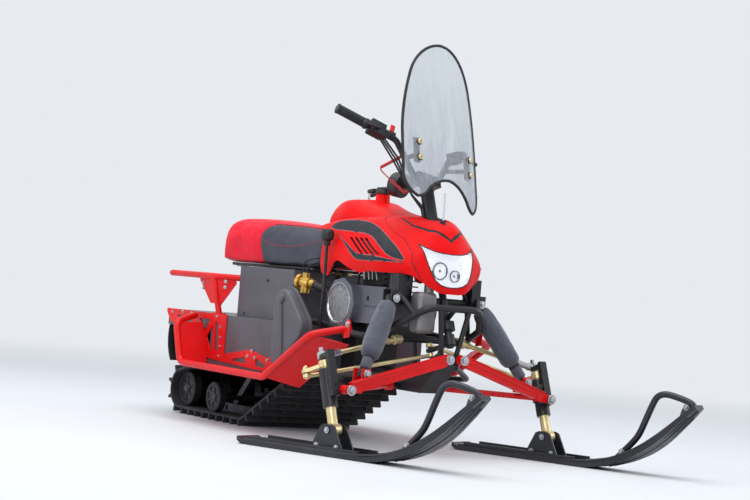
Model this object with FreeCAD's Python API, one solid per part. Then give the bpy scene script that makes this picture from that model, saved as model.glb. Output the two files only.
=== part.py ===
import FreeCAD, Part
import math
import os

# Compact utility snowmobile, millimetres. +X forward, +Y left, +Z up.
# Pieces are drawn from a datum 50 mm under the ground and brought down to it when saved,
# so in the finished part the ground is z = 0. x = 0 lies under the track, on a lug's tip.
# The steering stands turned to the left, as the vehicle was parked.

os.makedirs("parts", exist_ok=True)
V = FreeCAD.Vector

# --- driving dimensions
ground = 50.0            # height of the ground above the datum
track_w = 500.0          # width of the track
belt_t = 8.0             # thickness of the belt
lug_h = 22.0             # height of a lug above the belt
lug_count = 38           # lugs round the loop
idler_r = 70.0           # inner radius of the belt at the rear wheels
bend_r = 70.0            # inner radius of the belt where it leaves the ground
drive_r = 75.0           # inner radius of the belt at the drive sprockets
rear_x = -370.0          # rear wheels
bend_x = 110.0           # where the belt leaves the ground
drive_x = 430.0          # drive sprockets
drive_z = 335.0
edge_gap = 9.0           # track's edge to the tunnel's side
sheet = 3.0              # sheet metal
tunnel_top = 460.0       # top of the tunnel
tunnel_front = 551.0     # front wall of the tunnel
tunnel_rear = -490.0
deck_front = -132.0      # where the rear deck joins the tunnel
board_w = 124.0          # footboard beyond the tunnel
board_z = 262.0          # top of the footboard
tube_r = 12.0            # frame tubes
foot_tube_r = 13.0       # tube round a footboard
seat_z = 668.0           # underside of the seat
seat_crown = 838.0
seat_half = 172.0
stance = 450.0           # kingpin from the centre plane
rake = 22.0              # column and kingpins lean back, degrees
turn = 19.0              # how far the steering stands turned, degrees
arm_len = 85.0           # pitman arm and steering arms
col_x = 1092.0           # foot of the steering column
col_z = 442.0
pin_x = 1018.0           # top of the kingpin
pin_z = 345.0
ski_pivot_z = 135.0
ski_half = 62.0          # half width of a ski
skin_t = 4.0             # bodywork wall
gap = 0.3                # running gap between neighbouring curved faces

ground_r = belt_t + lug_h
half_in = track_w / 2 + edge_gap
half_out = half_in + sheet
board_y = half_out + board_w
rear_z = ground + idler_r + ground_r


def box(x0, x1, y0, y1, z0, z1):
    return Part.makeBox(x1 - x0, y1 - y0, z1 - z0, V(x0, y0, z0))


def rod(p, q, r):
    p = V(*p)
    q = V(*q)
    return Part.makeCylinder(r, (q - p).Length, p, q - p)


def pipe(p, q, r, wall):
    return rod(p, q, r).cut(rod(p, q, r - wall))


def joined(shapes):
    first = shapes[0]
    if len(shapes) == 1:
        return first
    return first.multiFuse(shapes[1:]).removeSplitter()


def tube_run(points, r, bend):
    """A round tube through the points, its corners bent to the given radius."""
    pts = [V(*p) for p in points]
    solids = []
    start = pts[0]
    for i in range(1, len(pts) - 1):
        a = (pts[i] - pts[i - 1]).normalize()
        b = (pts[i + 1] - pts[i]).normalize()
        angle = a.getAngle(b)
        if angle < 0.02:
            continue
        reach = bend * math.tan(angle / 2)
        stop = pts[i] - a * reach
        axis = a.cross(b).normalize()
        centre = stop + axis.cross(a) * bend
        solids.append(Part.makeCylinder(r, (stop - start).Length, start, a))
        disc = Part.Face(Part.Wire(Part.makeCircle(r, stop, a)))
        solids.append(disc.revolve(centre, axis, math.degrees(angle)))
        start = pts[i] + b * reach
    last = pts[-1] - start
    solids.append(Part.makeCylinder(r, last.Length, start, last))
    return joined(solids)


def ring_wire(points):
    return Part.makePolygon(points + [points[0]])


def plate_xz(points, y0, y1):
    wire = ring_wire([V(x, y0, z) for x, z in points])
    return Part.Face(wire).extrude(V(0, y1 - y0, 0))


def plate_yz(points, x0, x1):
    wire = ring_wire([V(x0, y, z) for y, z in points])
    return Part.Face(wire).extrude(V(x1 - x0, 0, 0))


def plate_xy(points, z0, z1):
    wire = ring_wire([V(x, y, z0) for x, y in points])
    return Part.Face(wire).extrude(V(0, 0, z1 - z0))


def sheet_3d(points, thickness):
    """A flat sheet on points in space, thickened along its normal."""
    pts = [V(*p) for p in points]
    normal = (pts[1] - pts[0]).cross(pts[2] - pts[0]).normalize()
    return Part.Face(ring_wire(pts)).extrude(normal * thickness)


def bar(p, q, w, h):
    """A straight bar from p to q, w across and h high."""
    p = V(*p)
    q = V(*q)
    along = (q - p).normalize()
    side = along.cross(V(0, 0, 1)).normalize()
    up = side.cross(along)
    corners = [side * a * w / 2 + up * b * h / 2 + p for a, b in ((-1, -1), (1, -1), (1, 1), (-1, 1))]
    return Part.Face(ring_wire(corners)).extrude(q - p)


def mirrored(shape):
    return shape.mirror(V(0, 0, 0), V(0, 1, 0))


def both(shape):
    return Part.makeCompound([shape, mirrored(shape)])


def save(node, shape):
    shape = shape.copy()
    shape.translate(V(0, 0, -ground))
    solids = shape.Solids
    if len(solids) > 1:
        shape = Part.makeCompound(solids)
    else:
        shape = solids[0]
    shape.exportStep("parts/" + node + ".step")


class Loop:
    """The taut line round circles in the XZ plane, counter-clockwise."""

    def __init__(self, circles, grow):
        self.c = [(x, z, r + grow) for x, z, r in circles]
        n = len(self.c)
        self.normal = []
        for i in range(n):
            x0, z0, r0 = self.c[i]
            x1, z1, r1 = self.c[(i + 1) % n]
            span = math.hypot(x1 - x0, z1 - z0)
            self.normal.append(math.atan2(z1 - z0, x1 - x0) - math.acos((r0 - r1) / span))
        self.parts = []
        for i in range(n):
            x0, z0, r0 = self.c[i]
            j = (i + 1) % n
            x1, z1, r1 = self.c[j]
            a = self.normal[i]
            p = (x0 + r0 * math.cos(a), z0 + r0 * math.sin(a))
            q = (x1 + r1 * math.cos(a), z1 + r1 * math.sin(a))
            self.parts.append(("line", p, q, math.hypot(q[0] - p[0], q[1] - p[1]), a))
            sweep = (self.normal[j] - a) % (2 * math.pi)
            self.parts.append(("arc", (x1, z1, r1), (a, sweep), r1 * sweep, a))
        self.length = sum(part[3] for part in self.parts)

    def at(self, s):
        """Point and outward normal at the distance s along the loop."""
        s = s % self.length
        for kind, p, q, length, a in self.parts:
            if s <= length + 1e-9:
                if kind == "line":
                    t = s / length
                    return (p[0] + (q[0] - p[0]) * t, p[1] + (q[1] - p[1]) * t), a
                turned = a + s / p[2]
                return (p[0] + p[2] * math.cos(turned), p[1] + p[2] * math.sin(turned)), turned
            s -= length
        return self.at(0)

    def corners(self, s0, s1):
        """Distances between s0 and s1 where a line meets an arc."""
        marks = []
        total = 0.0
        for lap in range(2):
            for part in self.parts:
                total += part[3]
                if s0 + 0.01 < total < s1 - 0.01:
                    marks.append(total)
        return marks

    def edges(self, s0, s1, y):
        stops = [s0] + self.corners(s0, s1) + [s1]
        found = []
        for a, b in zip(stops, stops[1:]):
            (x0, z0), n0 = self.at(a)
            (xm, zm), nm = self.at((a + b) / 2)
            (x1, z1), n1 = self.at(b)
            p = V(x0, y, z0)
            q = V(x1, y, z1)
            if abs(math.sin(n1 - n0)) < 1e-6 and abs(math.sin(nm - n0)) < 1e-6:
                found.append(Part.makeLine(p, q))
            else:
                found.append(Part.Arc(p, V(xm, y, zm), q).toShape())
        return found

    def plate(self, y0, y1):
        wire = Part.Wire(self.edges(0, self.length, y0))
        return Part.Face(wire).extrude(V(0, y1 - y0, 0))


# --- track: one closed belt with its lugs in the outline
track_circles = [(rear_x, rear_z, idler_r), (bend_x, ground + bend_r + ground_r, bend_r), (drive_x, drive_z, drive_r)]
outer = Loop(track_circles, belt_t)
pitch = outer.length / lug_count
phase = -rear_x
root = 15.0
tip = 9.0
outline = []
for i in range(lug_count):
    s = phase + i * pitch
    (x, z), a = outer.at(s)
    nx, nz = math.cos(a), math.sin(a)
    (x0, z0), a0 = outer.at(s - root / 2)
    (x1, z1), a1 = outer.at(s + root / 2)
    p0 = V(x0, -track_w / 2, z0)
    p1 = V(x + nx * lug_h + nz * tip / 2, -track_w / 2, z + nz * lug_h - nx * tip / 2)
    p2 = V(x + nx * lug_h - nz * tip / 2, -track_w / 2, z + nz * lug_h + nx * tip / 2)
    p3 = V(x1, -track_w / 2, z1)
    outline += [Part.makeLine(p0, p1), Part.makeLine(p1, p2), Part.makeLine(p2, p3)]
    start = (s + root / 2) % outer.length
    outline += outer.edges(start, start + pitch - root, -track_w / 2)
track = Part.Face(Part.Wire(outline)).extrude(V(0, track_w, 0))
track = track.cut(Loop(track_circles, 0).plate(-track_w / 2 - 1, track_w / 2 + 1))
save("track", track)

# --- wheels and slide rails inside the track
mid_x = -110.0
mid_r = 58.0
mid_z = ground + ground_r + gap + mid_r
wheels = []
for y in (-200, -70, 70, 200):
    wheels.append(rod((rear_x, y - 14, rear_z), (rear_x, y + 14, rear_z), idler_r - gap))
for y in (-225, 225):
    wheels.append(rod((mid_x, y - 12, mid_z), (mid_x, y + 12, mid_z), mid_r))
for y in (-150, 0, 150):
    wheels.append(rod((drive_x, y - 16, drive_z), (drive_x, y + 16, drive_z), drive_r - gap))
axles = [
    rod((rear_x, -222, rear_z), (rear_x, 222, rear_z), 13),
    rod((mid_x, -240, mid_z), (mid_x, 240, mid_z), 10),
    rod((drive_x, -half_in + gap, drive_z), (drive_x, half_in - gap, drive_z), 14),
]
wheels_cut = [w.cut(Part.makeCompound(axles)) for w in wheels]
save("track_wheels", Part.makeCompound(wheels_cut))

rail_low = ground + ground_r + gap
rail_side = [(-352, rail_low), (110, rail_low), (146, rail_low + 12), (214, rail_low + 53), (202, rail_low + 72),
             (136, rail_low + 42), (90, rail_low + 32), (-300, rail_low + 32), (-330, rear_z + 18), (-392, rear_z + 18),
             (-392, rear_z - 18), (-366, rear_z - 30)]
suspension = []
for y in (-125, 125):
    suspension.append(plate_xz(rail_side, y - 8, y + 8))
# columns: x and z of the shaft on the tunnel, x and z of the shaft on the rails
swing_arms = [(-40, 262, -190, rail_low + 16), (238, 272, 120, rail_low + 26)]
for x0, z0, x1, z1 in swing_arms:
    suspension.append(rod((x0, -half_in + gap, z0), (x0, half_in - gap, z0), 11))
    suspension.append(rod((x1, -140, z1), (x1, 140, z1), 9))
    for y in (-95, 95):
        suspension.append(bar((x0, y, z0), (x1, y, z1), 16, 26))
suspension.append(bar((-160, 0, 132), (60, 0, 168), 46, 46))
suspension.append(rod((-156, -104, 132), (-156, 104, 132), 9))
suspension.append(rod((54, -22, 167), (54, 22, 167), 20))
suspension.append(bar((54, 0, 167), (118, 0, rail_low + 26), 14, 20))
suspension += axles
save("track_suspension", joined(suspension))

# --- tunnel: top, two sides and a front wall
side_low = 252.0
tunnel = joined([
    box(deck_front, tunnel_front, -half_out, half_out, tunnel_top - sheet, tunnel_top),
    box(deck_front, tunnel_front, -half_out, -half_in, side_low, tunnel_top),
    box(deck_front, tunnel_front, half_in, half_out, side_low, tunnel_top),
    box(tunnel_front - sheet, tunnel_front, -half_out, half_out, 285, tunnel_top),
])
save("tunnel", tunnel)

# --- rear deck: the tunnel's rear end, a shallow channel that carries a load
rear_deck = joined([
    box(tunnel_rear, deck_front, -half_out, half_out, tunnel_top - sheet, tunnel_top),
    box(tunnel_rear, deck_front, -half_out, -half_in, 398, tunnel_top),
    box(tunnel_rear, deck_front, half_in, half_out, 398, tunnel_top),
])
save("rear_deck", rear_deck)

# --- red truss plates on the tunnel's rear sides, with the low bracket in front
truss_outline = [(-500, 462), (-500, 448), (-462, 408), (-440, 408), (-257, 296), (-26, 282), (339, 268), (391, 312), (389, 333),
                 (315, 322), (191, 343), (-8, 312), (-8, 462)]
truss_windows = [
    [(-412, 440), (-300, 440), (-190, 320), (-235, 320)],
    [(-223, 437), (-133, 437), (-176, 390)],
    [(-154, 371), (-109, 416), (-106, 320), (-112, 318)],
    [(-92, 430), (-72, 430), (-60, 320), (-84, 320)],
    [(60, 292), (74, 300), (155, 312), (165, 288)],
    [(236, 310), (250, 312), (312, 292), (300, 282), (240, 286)],
]
truss = plate_xz(truss_outline, -half_out - 4 - gap, -half_out - gap)
for window in truss_windows:
    truss = truss.cut(plate_xz(window, -half_out - 10, -half_out + 4))
save("side_plate_r", truss)
save("side_plate_l", mirrored(truss))
truss_y = half_out + gap + 4

# --- footboards: floor, toe guard, heel plate and the tube round them
toe_low = (505, -board_y, board_z)
toe_top = (803, -board_y, 434)
foot_points = [(-232, -truss_y - foot_tube_r - gap, 448), (-186, -board_y, 418), (-130, -board_y, board_z + 4), toe_low, toe_top,
               (838, -268, 462)]
foot_tube = tube_run(foot_points, foot_tube_r, 40)
save("foot_tube_r", foot_tube)
save("foot_tube_l", mirrored(foot_tube))

inner = truss_y + gap
floor = box(-128, 505, -board_y + foot_tube_r + gap, -inner, board_z - sheet, board_z)
heel_line = [(-133, board_z), (-190, 420), (-187, 421), (-130, board_z)]
heel = plate_xz(heel_line, -board_y + foot_tube_r + 1, -inner)
toe_run = V(toe_top[0] - toe_low[0], 0, toe_top[2] - toe_low[2])
toe_in = V(560, -half_out - 2, 232)
edge = foot_tube_r + 0.6
toe_a = V(505, -board_y + edge, board_z - 3)
toe_guard = sheet_3d([tuple(toe_a), tuple(toe_a + toe_run), tuple(toe_in + toe_run * 1.02), tuple(toe_in)], sheet)
footboard = joined([floor, heel, toe_guard]).cut(tube_run(foot_points, foot_tube_r + gap, 40))
save("footboard_r", footboard)
save("footboard_l", mirrored(footboard))

# --- seat box, hollow and open at the top
box_x0, box_x1, box_y = -37.0, 365.0, 205.0
seat_box = box(box_x0, box_x1, -box_y, box_y, tunnel_top, seat_z - 14)
seat_box = seat_box.cut(box(box_x0 + 4, box_x1 - 4, -box_y + 4, box_y - 4, tunnel_top + 4, seat_z))
hinge_x, hinge_z = 380.0, seat_z - 14
hinge_lug = box(box_x1, hinge_x + 2, -14, 14, hinge_z - 30, hinge_z - 5)
hinge_ear = rod((hinge_x, -14, hinge_z), (hinge_x, 14, hinge_z), 9)
hinge_bore = rod((hinge_x, -40, hinge_z), (hinge_x, 40, hinge_z), 5.4)
save("seat_box", joined([seat_box, hinge_lug, hinge_ear]).cut(hinge_bore))

# --- seat: a base pan with its hinge, and a cushion on it
base = box(-232, 405, -seat_half + 14, seat_half - 14, seat_z - 12, seat_z)
notch = box(hinge_x - 16, hinge_x + 26, -20, 20, seat_z - 40, seat_z - 1)
base = base.cut(notch)
hinge_knuckles = []
for y in (-34, 20):
    hinge_knuckles.append(box(hinge_x - 9, hinge_x + 9, y, y + 14, hinge_z - 8, seat_z - 3))
hinge_pin = rod((hinge_x, -34, hinge_z), (hinge_x, 34, hinge_z), 5.0)
save("seat_base", joined([base] + hinge_knuckles + [hinge_pin]))

# columns: x, half width low, z low, half width at the shoulder, z shoulder, half width top, z top
seat_stations = [
    (-262, 150, 684, 158, 760, 112, 800),
    (-200, 166, 674, 172, 775, 122, 832),
    (-60, 172, 668, 176, 780, 128, seat_crown),
    (120, 172, 668, 168, 762, 118, 826),
    (300, 172, 668, 150, 745, 96, 818),
    (432, 146, 668, 120, 752, 84, 812),
]
seat_wires = []
for x, w0, z0, w1, z1, w2, z2 in seat_stations:
    ring = [(-w0, z0), (-w1, z1), (-w2, z2), (w2, z2), (w1, z1), (w0, z0)]
    seat_wires.append(ring_wire([V(x, y, z) for y, z in ring]))
cushion = Part.makeLoft(seat_wires, True, True)
rear_cut = plate_xz([(-400, 600), (-240, 600), (-285, 860), (-400, 860)], -300, 300)
save("seat_cushion", cushion.cut(rear_cut))

# --- rack behind the seat: a loop, two legs, gussets
rack_z = 605.0
rack_y = half_out + 3
rack_points = [(box_x0 - gap, -box_y + 20, rack_z), (-128, -rack_y, rack_z), (-517, -rack_y, rack_z), (-517, rack_y, rack_z),
               (-128, rack_y, rack_z), (box_x0 - gap, box_y - 20, rack_z)]
rack = [tube_run(rack_points, tube_r, 46)]
for s in (-1, 1):
    rack.append(rod((-135, s * rack_y, rack_z - 2), (-102, s * (half_out - 16), tunnel_top - 6), tube_r))
    rack.append(box(-128, -76, s * (half_out - 16) - 15, s * (half_out - 16) + 15, tunnel_top, tunnel_top + 5))
    gusset = [(-250, rack_z), (-250, rack_z - 18), (-150, 500), (-98, 500), (-120, rack_z)]
    rack.append(plate_xz(gusset, s * (rack_y - 4) - 2, s * (rack_y - 4) + 2))
    leg_top = V(-116, s * (rack_y - 3), rack_z)
    leg_low = V(-101, s * (half_out - 15), 490)
    bend_end = V(-58, s * (rack_y - 54), rack_z)
    tip_low = bend_end + (leg_low - leg_top) * 0.2
    rack.append(sheet_3d([tuple(leg_top), tuple(bend_end), tuple(tip_low), tuple(leg_low)], 4))
rack_trim = box(-200, 0, -300, 300, tunnel_top - 40, tunnel_top).fuse(box(box_x0 - gap, 0, -300, 300, 500, 700))
save("rear_rack", joined(rack).cut(rack_trim))

# --- flap behind the track
arc_out = Part.Arc(V(-490.3, -240, 460), V(-532, -240, 350), V(-498, -240, 252)).toShape()
arc_in = Part.Arc(V(-494, -240, 251), V(-527, -240, 350), V(-490.3, -240, 448)).toShape()
flap_face = Part.Face(Part.Wire([arc_out, Part.makeLine(V(-498, -240, 252), V(-494, -240, 251)), arc_in,
                                 Part.makeLine(V(-490.3, -240, 448), V(-490.3, -240, 460))]))
save("snow_flap", flap_face.extrude(V(0, 480, 0)))

# --- chain case on the right side
case_circles = [(440, 336, 46), (552, 446, 62), (461, 524, 66)]
case_y = half_out + gap
flange = Loop(case_circles, 0).plate(-case_y - 12, -case_y)
cover = Loop(case_circles, -9).plate(-case_y - 44, -case_y - 12)
boss = rod((461, -case_y - 50, 524), (461, -case_y - 40, 524), 16)
rib = bar((500, -case_y - 44, 400), (492, -case_y - 44, 560), 14, 10)
save("chain_case", joined([flange, cover, boss, rib]))

# --- front frame
deck = tunnel_top + tube_r + gap
hoop_half = [(372, 200, deck), (556, 200, deck), (800, 200, 447), (905, 200, 443), (1011, 180, 490), (1108, 106, 562)]
hoop_points = hoop_half + [(x, -y, z) for x, y, z in reversed(hoop_half)]
shock_top = (978.0, 182.0, 583.0)
keel = plate_xz([(tunnel_front, 292), (850, 262), (985, 262), (1100, 368), (1100, 404), (1072, 404), (950, 312), (tunnel_front, 340)], -40, 40)
frame = [
    tube_run(hoop_points, tube_r, 60),
    keel,
    box(600, 780, -190, 190, 446, 452),
    box(tunnel_front, 640, -90, 90, 300, 452),
    rod((978, -154, shock_top[2]), (978, 154, shock_top[2]), tube_r),
    rod((966, -146, 443), (966, 146, 443), 9),
    rod((857, -66, 275), (857, 66, 275), 12),
]
for s in (-1, 1):
    frame.append(rod((958, s * 158, 570), (925, s * 198, 446), 9))
    frame.append(rod((978, s * 146, 588), (930, s * 24, 822), 10))
    frame.append(rod((966, s * 60, 443), (956, s * 34, 308), 8))
    frame.append(tube_run([(560, s * 225, 300), (741, s * 225, 302), (964, s * 180, 316), (1086, s * 36, 363)], 10, 60))
    frame.append(rod((1090, s * 30, 392), (1108, s * 60, 556), 9))
axis = V(-math.sin(math.radians(rake)), 0, math.cos(math.radians(rake)))
foot = V(col_x, 0, col_z)
head = foot + axis * 410
bearing = Part.makeCylinder(30, 44, head - axis * 22, axis)
heel_bearing = Part.makeCylinder(26, 30, foot + axis * 46, axis)
frame += [bearing, heel_bearing]
heel_web = box(1060, 1100, -8, 8, 500, 552)
frame.append(rod((1050, 0, 512), (1108, 0, 562), 9))
front_frame = joined(frame)
bore = Part.makeCylinder(13.4, 900, foot - axis * 60, axis)
front_frame = front_frame.cut(bore)

# --- steering placement: a local frame on an axis, turned about it
tilt = FreeCAD.Rotation(V(0, 1, 0), -rake).multiply(FreeCAD.Rotation(V(0, 0, 1), turn))
tilt_straight = FreeCAD.Rotation(V(0, 1, 0), -rake)


def placed(shape, point, rotation):
    moved = shape.copy()
    moved.Placement = FreeCAD.Placement(V(*point), rotation).multiply(moved.Placement)
    return moved


def steered(shape):
    return placed(shape, (col_x, 0, col_z), tilt)


# --- bodywork: stations from the rear to the nose, right half, low edge to the top
# columns: x, low y, low z, belt y, belt z, shoulder y, shoulder z, top y, top z
hood_stations = [
    (468, 194, 606, 198, 700, 178, 808, 108, 838),
    (640, 206, 628, 212, 720, 176, 826, 128, 858),
    (830, 208, 664, 214, 735, 166, 823, 100, 868),
    (930, 200, 668, 205, 735, 148, 812, 80, 866),
    (1014, 158, 668, 162, 718, 112, 774, 50, 838),
    (1048, 122, 652, 126, 704, 88, 760, 36, 802),
    (1070, 84, 628, 92, 684, 62, 734, 26, 766),
    (1082, 60, 616, 68, 670, 42, 708, 18, 722),
]


def shell_form(stations, inset, drop):
    wires = []
    last = len(stations) - 1
    for i, row in enumerate(stations):
        x = row[0]
        if i == 0:
            x = x - drop
        if i == last:
            x = x - inset
        half = []
        for k in (1, 3, 5, 7):
            y = row[k] - inset
            z = row[k + 1]
            if k == 1:
                z = z - drop
            if k == 7:
                z = z - inset
            if k == 5:
                z = z - inset * 0.6
            half.append((max(y, 1.0), z))
        ring = [(-y, z) for y, z in half] + [(y, z) for y, z in reversed(half)]
        wires.append(ring_wire([V(x, y, z) for y, z in ring]))
    return Part.makeLoft(wires, True, True)


hood_full = shell_form(hood_stations, 0, 0)
hood_inner = shell_form(hood_stations, skin_t, 30)
hood = hood_full.cut(hood_inner)
# below this line the body is open: behind the rear legs, and the arches ahead of them
low_edge = [(440, 560), (440, 812), (497, 812), (532, 770), (540, 690), (556, 642), (604, 642), (640, 687),
            (668, 699), (721, 683), (771, 668), (830, 664), (830, 560)]
hood = hood.cut(plate_xz(low_edge, -300, 300))
louvre_w = 17.0
# columns: x and z of a louvre's upper rear corner, x and z of its lower rear corner
louvres = [(703, 785, 816, 728), (735, 785, 852, 728), (766, 785, 886, 728), (797, 785, 914, 728)]
for x0, z0, x1, z1 in louvres:
    slot = [(x0, z0), (x0 + louvre_w, z0), (x1 + louvre_w, z1), (x1, z1)]
    hood = hood.cut(plate_xz(slot, -300, 300))

tank_stations = [
    (415, 96, 822, 104, 852, 80, 892, 50, 904),
    (485, 112, 822, 120, 862, 96, 912, 60, 923),
    (565, 118, 830, 124, 876, 94, 918, 58, 928),
    (645, 102, 840, 102, 872, 74, 904, 46, 914),
    (745, 88, 840, 86, 866, 58, 884, 36, 891),
    (872, 76, 840, 74, 862, 52, 872, 34, 875),
]
tank_full = shell_form(tank_stations, 0, 0)
tank_cut = shell_form(tank_stations, -0.5, 0)
tank_rows = [tuple([row[0] + (skin_t if i == 0 else 0)] + list(row[1:])) for i, row in enumerate(tank_stations)]
tank_inner = shell_form(tank_rows, skin_t, 0).fuse(box(420, 866, -84, 84, 780, 842))
tank = tank_full.cut(tank_inner)
tank_hood = tank.cut(hood_full)
neck_x = 602.0
neck_z = 952.0
neck_r = 19.5
neck = Part.makeCone(2 * neck_r, neck_r, 62, V(neck_x, 0, neck_z - 62), V(0, 0, 1))
tank_cover = joined([tank, neck])
save("tank_cover", tank_cover)
cap = rod((neck_x, 0, neck_z), (neck_x, 0, neck_z + 15), neck_r + 2.5)
cap_tail = bar((neck_x - 14, 0, neck_z + 8), (neck_x - 82, 0, neck_z - 5), 16, 9)
save("tank_cap", joined([cap, cap_tail]).cut(neck))

hood = hood.cut(shell_form([tuple([row[0] + (-2 if i == 0 else 0)] + list(row[1:])) for i, row in enumerate(tank_stations)], -0.5, 60))
hood = hood.cut(box(866, 968, -46, 46, 830, 900))

lamp_outline = [(-102, 774), (-56, 748), (0, 744), (56, 748), (102, 774), (92, 722), (66, 664), (0, 634), (-66, 664), (-92, 722)]
lamp_front = plate_yz(lamp_outline, 1000, 1120)
lamp_ring = Part.Face(ring_wire([V(1000, y, z) for y, z in lamp_outline])).makeOffset2D(0.6).extrude(V(120, 0, 0))
lamp = shell_form(hood_stations, 1.5, 0).cut(shell_form(hood_stations, 14, 30)).common(lamp_front)
save("headlight", lamp)
lamp_gone = hood.cut(lamp_ring)

# seam between the nose and the sides: a slanting plane on each side
seam = [(805, 900), (819, 862), (973, 787), (1023, 740), (1041, 690), (1055, 640), (1060, 580)]
nose_side = plate_xz(seam + [(1200, 580), (1200, 900)], -300, 300)
cowl_front = lamp_gone.common(nose_side)
seam_back = [(x - 1, z) for x, z in seam]
cowl_back = lamp_gone.cut(plate_xz(seam_back + [(1200, 580), (1200, 900)], -300, 300))
cowl_r = cowl_back.common(box(400, 1200, -400, -0.2, 500, 1000))
cowl_l = cowl_back.common(box(400, 1200, 0.2, 400, 500, 1000))
save("cowl_front", cowl_front)
save("cowl_side_r", cowl_r)
save("cowl_side_l", cowl_l)

# shock ears on the frame, and towers from them to the inside of the bodywork
hood_room = shell_form(hood_stations, skin_t + gap, 30)
ears = []
for s in (-1, 1):
    for dx in (-24, 25):
        ears.append(box(978 + dx, 984 + dx, min(s * 138, s * 200), max(s * 138, s * 200), 562, 612))
    ears.append(box(954, 1009, min(s * 138, s * 176), max(s * 138, s * 176), 603, 668))
    ears.append(box(954, 1009, min(s * 138, s * 215), max(s * 138, s * 215), 664, 720).common(hood_room))
    ears.append(rod((948, s * 182, 583), (1015, s * 182, 583), 6))
front_frame = joined([front_frame] + ears).cut(cowl_front)
save("front_frame", front_frame)

# --- suspension arms, links and shocks, right and left
arm_in = V(1132, 44, 384)
arm_out = V(1116, 402, 276)
for s, tag in ((-1, "r"), (1, "l")):
    front_bar = bar((arm_in.x, s * arm_in.y, arm_in.z), (arm_out.x, s * arm_out.y, arm_out.z), 24, 38)
    rear_bar = rod((1098, s * 396, 270), (857, s * 84, 275), 10)
    inner_eye = rod((1118, s * 30, 389), (1146, s * 30, 389), 17)
    outer_eye = rod((1096, s * 421, 270), (1136, s * 421, 270), 15)
    rear_eye = rod((857, s * 68, 275), (857, s * 92, 275), 16)
    web = bar((1104, s * 392, 272), (1132, s * 392, 274), 44, 26)
    seat = box(1048, 1116, min(s * 322, s * 358), max(s * 322, s * 358), 284, 298)
    clevis = []
    for x in (1050, 1100):
        clevis.append(box(x, x + 6, min(s * 322, s * 358), max(s * 322, s * 358), 290, 340))
    arm = joined([front_bar, rear_bar, inner_eye, outer_eye, rear_eye, web, seat] + clevis)
    arm = arm.cut(rod((1090, s * 421, 270), (1142, s * 421, 270), 7.4))
    arm = arm.cut(rod((1040, s * 340, 324), (1120, s * 340, 324), 6.4))
    save("lower_arm_" + tag, arm)

    low = V(1083, s * 340, 324)
    top = V(shock_top[0], s * shock_top[1], shock_top[2])
    reach = top - low
    body = [Part.makeCylinder(13, reach.Length, low, reach)]
    body.append(rod((low.x - 12, low.y, low.z), (low.x + 12, low.y, low.z), 15))
    body.append(rod((low.x - 38, low.y, low.z), (low.x + 28, low.y, low.z), 6.0))
    body.append(rod((964, top.y, top.z), (992, top.y, top.z), 15))
    shock = joined(body).cut(rod((960, s * 182, 583), (1000, s * 182, 583), 6.4))
    save("shock_" + tag, shock)
    u = reach.normalize()
    sleeve = Part.makeCone(30, 37, 60, low + u * 66, u)
    sleeve = sleeve.fuse(Part.makeCylinder(37, 120, low + u * 126, u))
    sleeve = sleeve.fuse(Part.makeCone(37, 31, 26, low + u * 246, u)).removeSplitter()
    save("shock_sleeve_" + tag, sleeve.cut(Part.makeCylinder(13.3, 400, low - u * 20, u)))

    link = [rod((966, s * 130, 443), (990, s * 440, 372), 8)]
    link.append(rod((966, s * 118, 443), (966, s * 142, 443), 15))
    link.append(Part.makeSphere(14, V(992, s * 450, 370)))
    save("upper_link_" + tag, joined(link).cut(rod((966, s * 100, 443), (966, s * 160, 443), 9.3)))

    # knuckle: a housing round the kingpin, a bridge ahead of it and a head over it, local to the kingpin
    housing = rod((0, 0, -150), (0, 0, -18), 25)
    bridge = box(29, 44, -14, 14, -120, 40)
    foot_pad = box(10, 44, -14, 14, -120, -30)
    head_pad = box(-14, 44, -14, 14, 18, 34)
    knuckle_local = joined([housing, bridge, foot_pad, head_pad])
    knuckle = placed(knuckle_local, (pin_x, s * stance, pin_z), tilt_straight)
    lug_a = box(1060, 1093, min(s * 407, s * 448), max(s * 407, s * 448), 250, 290)
    lug_b = box(1139, 1145, min(s * 407, s * 435), max(s * 407, s * 435), 255, 285)
    lug_bolt = rod((1085, s * 421, 270), (1150, s * 421, 270), 7.0)
    knuckle = joined([knuckle, lug_a, lug_bolt, rod((1139, s * 421, 270), (1148, s * 421, 270), 13)])
    knuckle = knuckle.cut(placed(rod((0, 0, -200), (0, 0, 10), 17.4), (pin_x, s * stance, pin_z), tilt_straight))
    knuckle = knuckle.cut(Part.makeSphere(14.3, V(992, s * 450, 370)))
    knuckle = knuckle.cut(rod((966, s * 130, 443), (990, s * 440, 372), 8.5))
    save("knuckle_" + tag, knuckle)

    # spindle: the kingpin, its steering arm and the boss on the ski's pivot
    pin_low = (pin_z - ski_pivot_z) / math.cos(math.radians(rake))
    spindle_local = joined([
        rod((0, 0, -pin_low + 4), (0, 0, 10), 17),
        rod((0, 0, -12), (0, 0, 11), 22),
        bar((0, 0, -2), (-arm_len, 0, -2), 20, 12),
        rod((-arm_len, 0, -8), (-arm_len, 0, 4), 14),
        rod((-arm_len, 0, -2), (-arm_len, 0, 28 * s), 5),
    ])
    spindle = placed(spindle_local, (pin_x, s * stance, pin_z), tilt)
    pivot = V(pin_x + (pin_z - ski_pivot_z) * math.tan(math.radians(rake)), s * stance, ski_pivot_z)
    ski_turn = FreeCAD.Rotation(V(0, 0, 1), turn)
    boss = placed(rod((0, -20, 0), (0, 20, 0), 22), tuple(pivot), ski_turn)
    spindle = joined([spindle, boss]).cut(placed(rod((0, -60, 0), (0, 60, 0), 7.4), tuple(pivot), ski_turn))
    save("spindle_" + tag, spindle)

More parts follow.
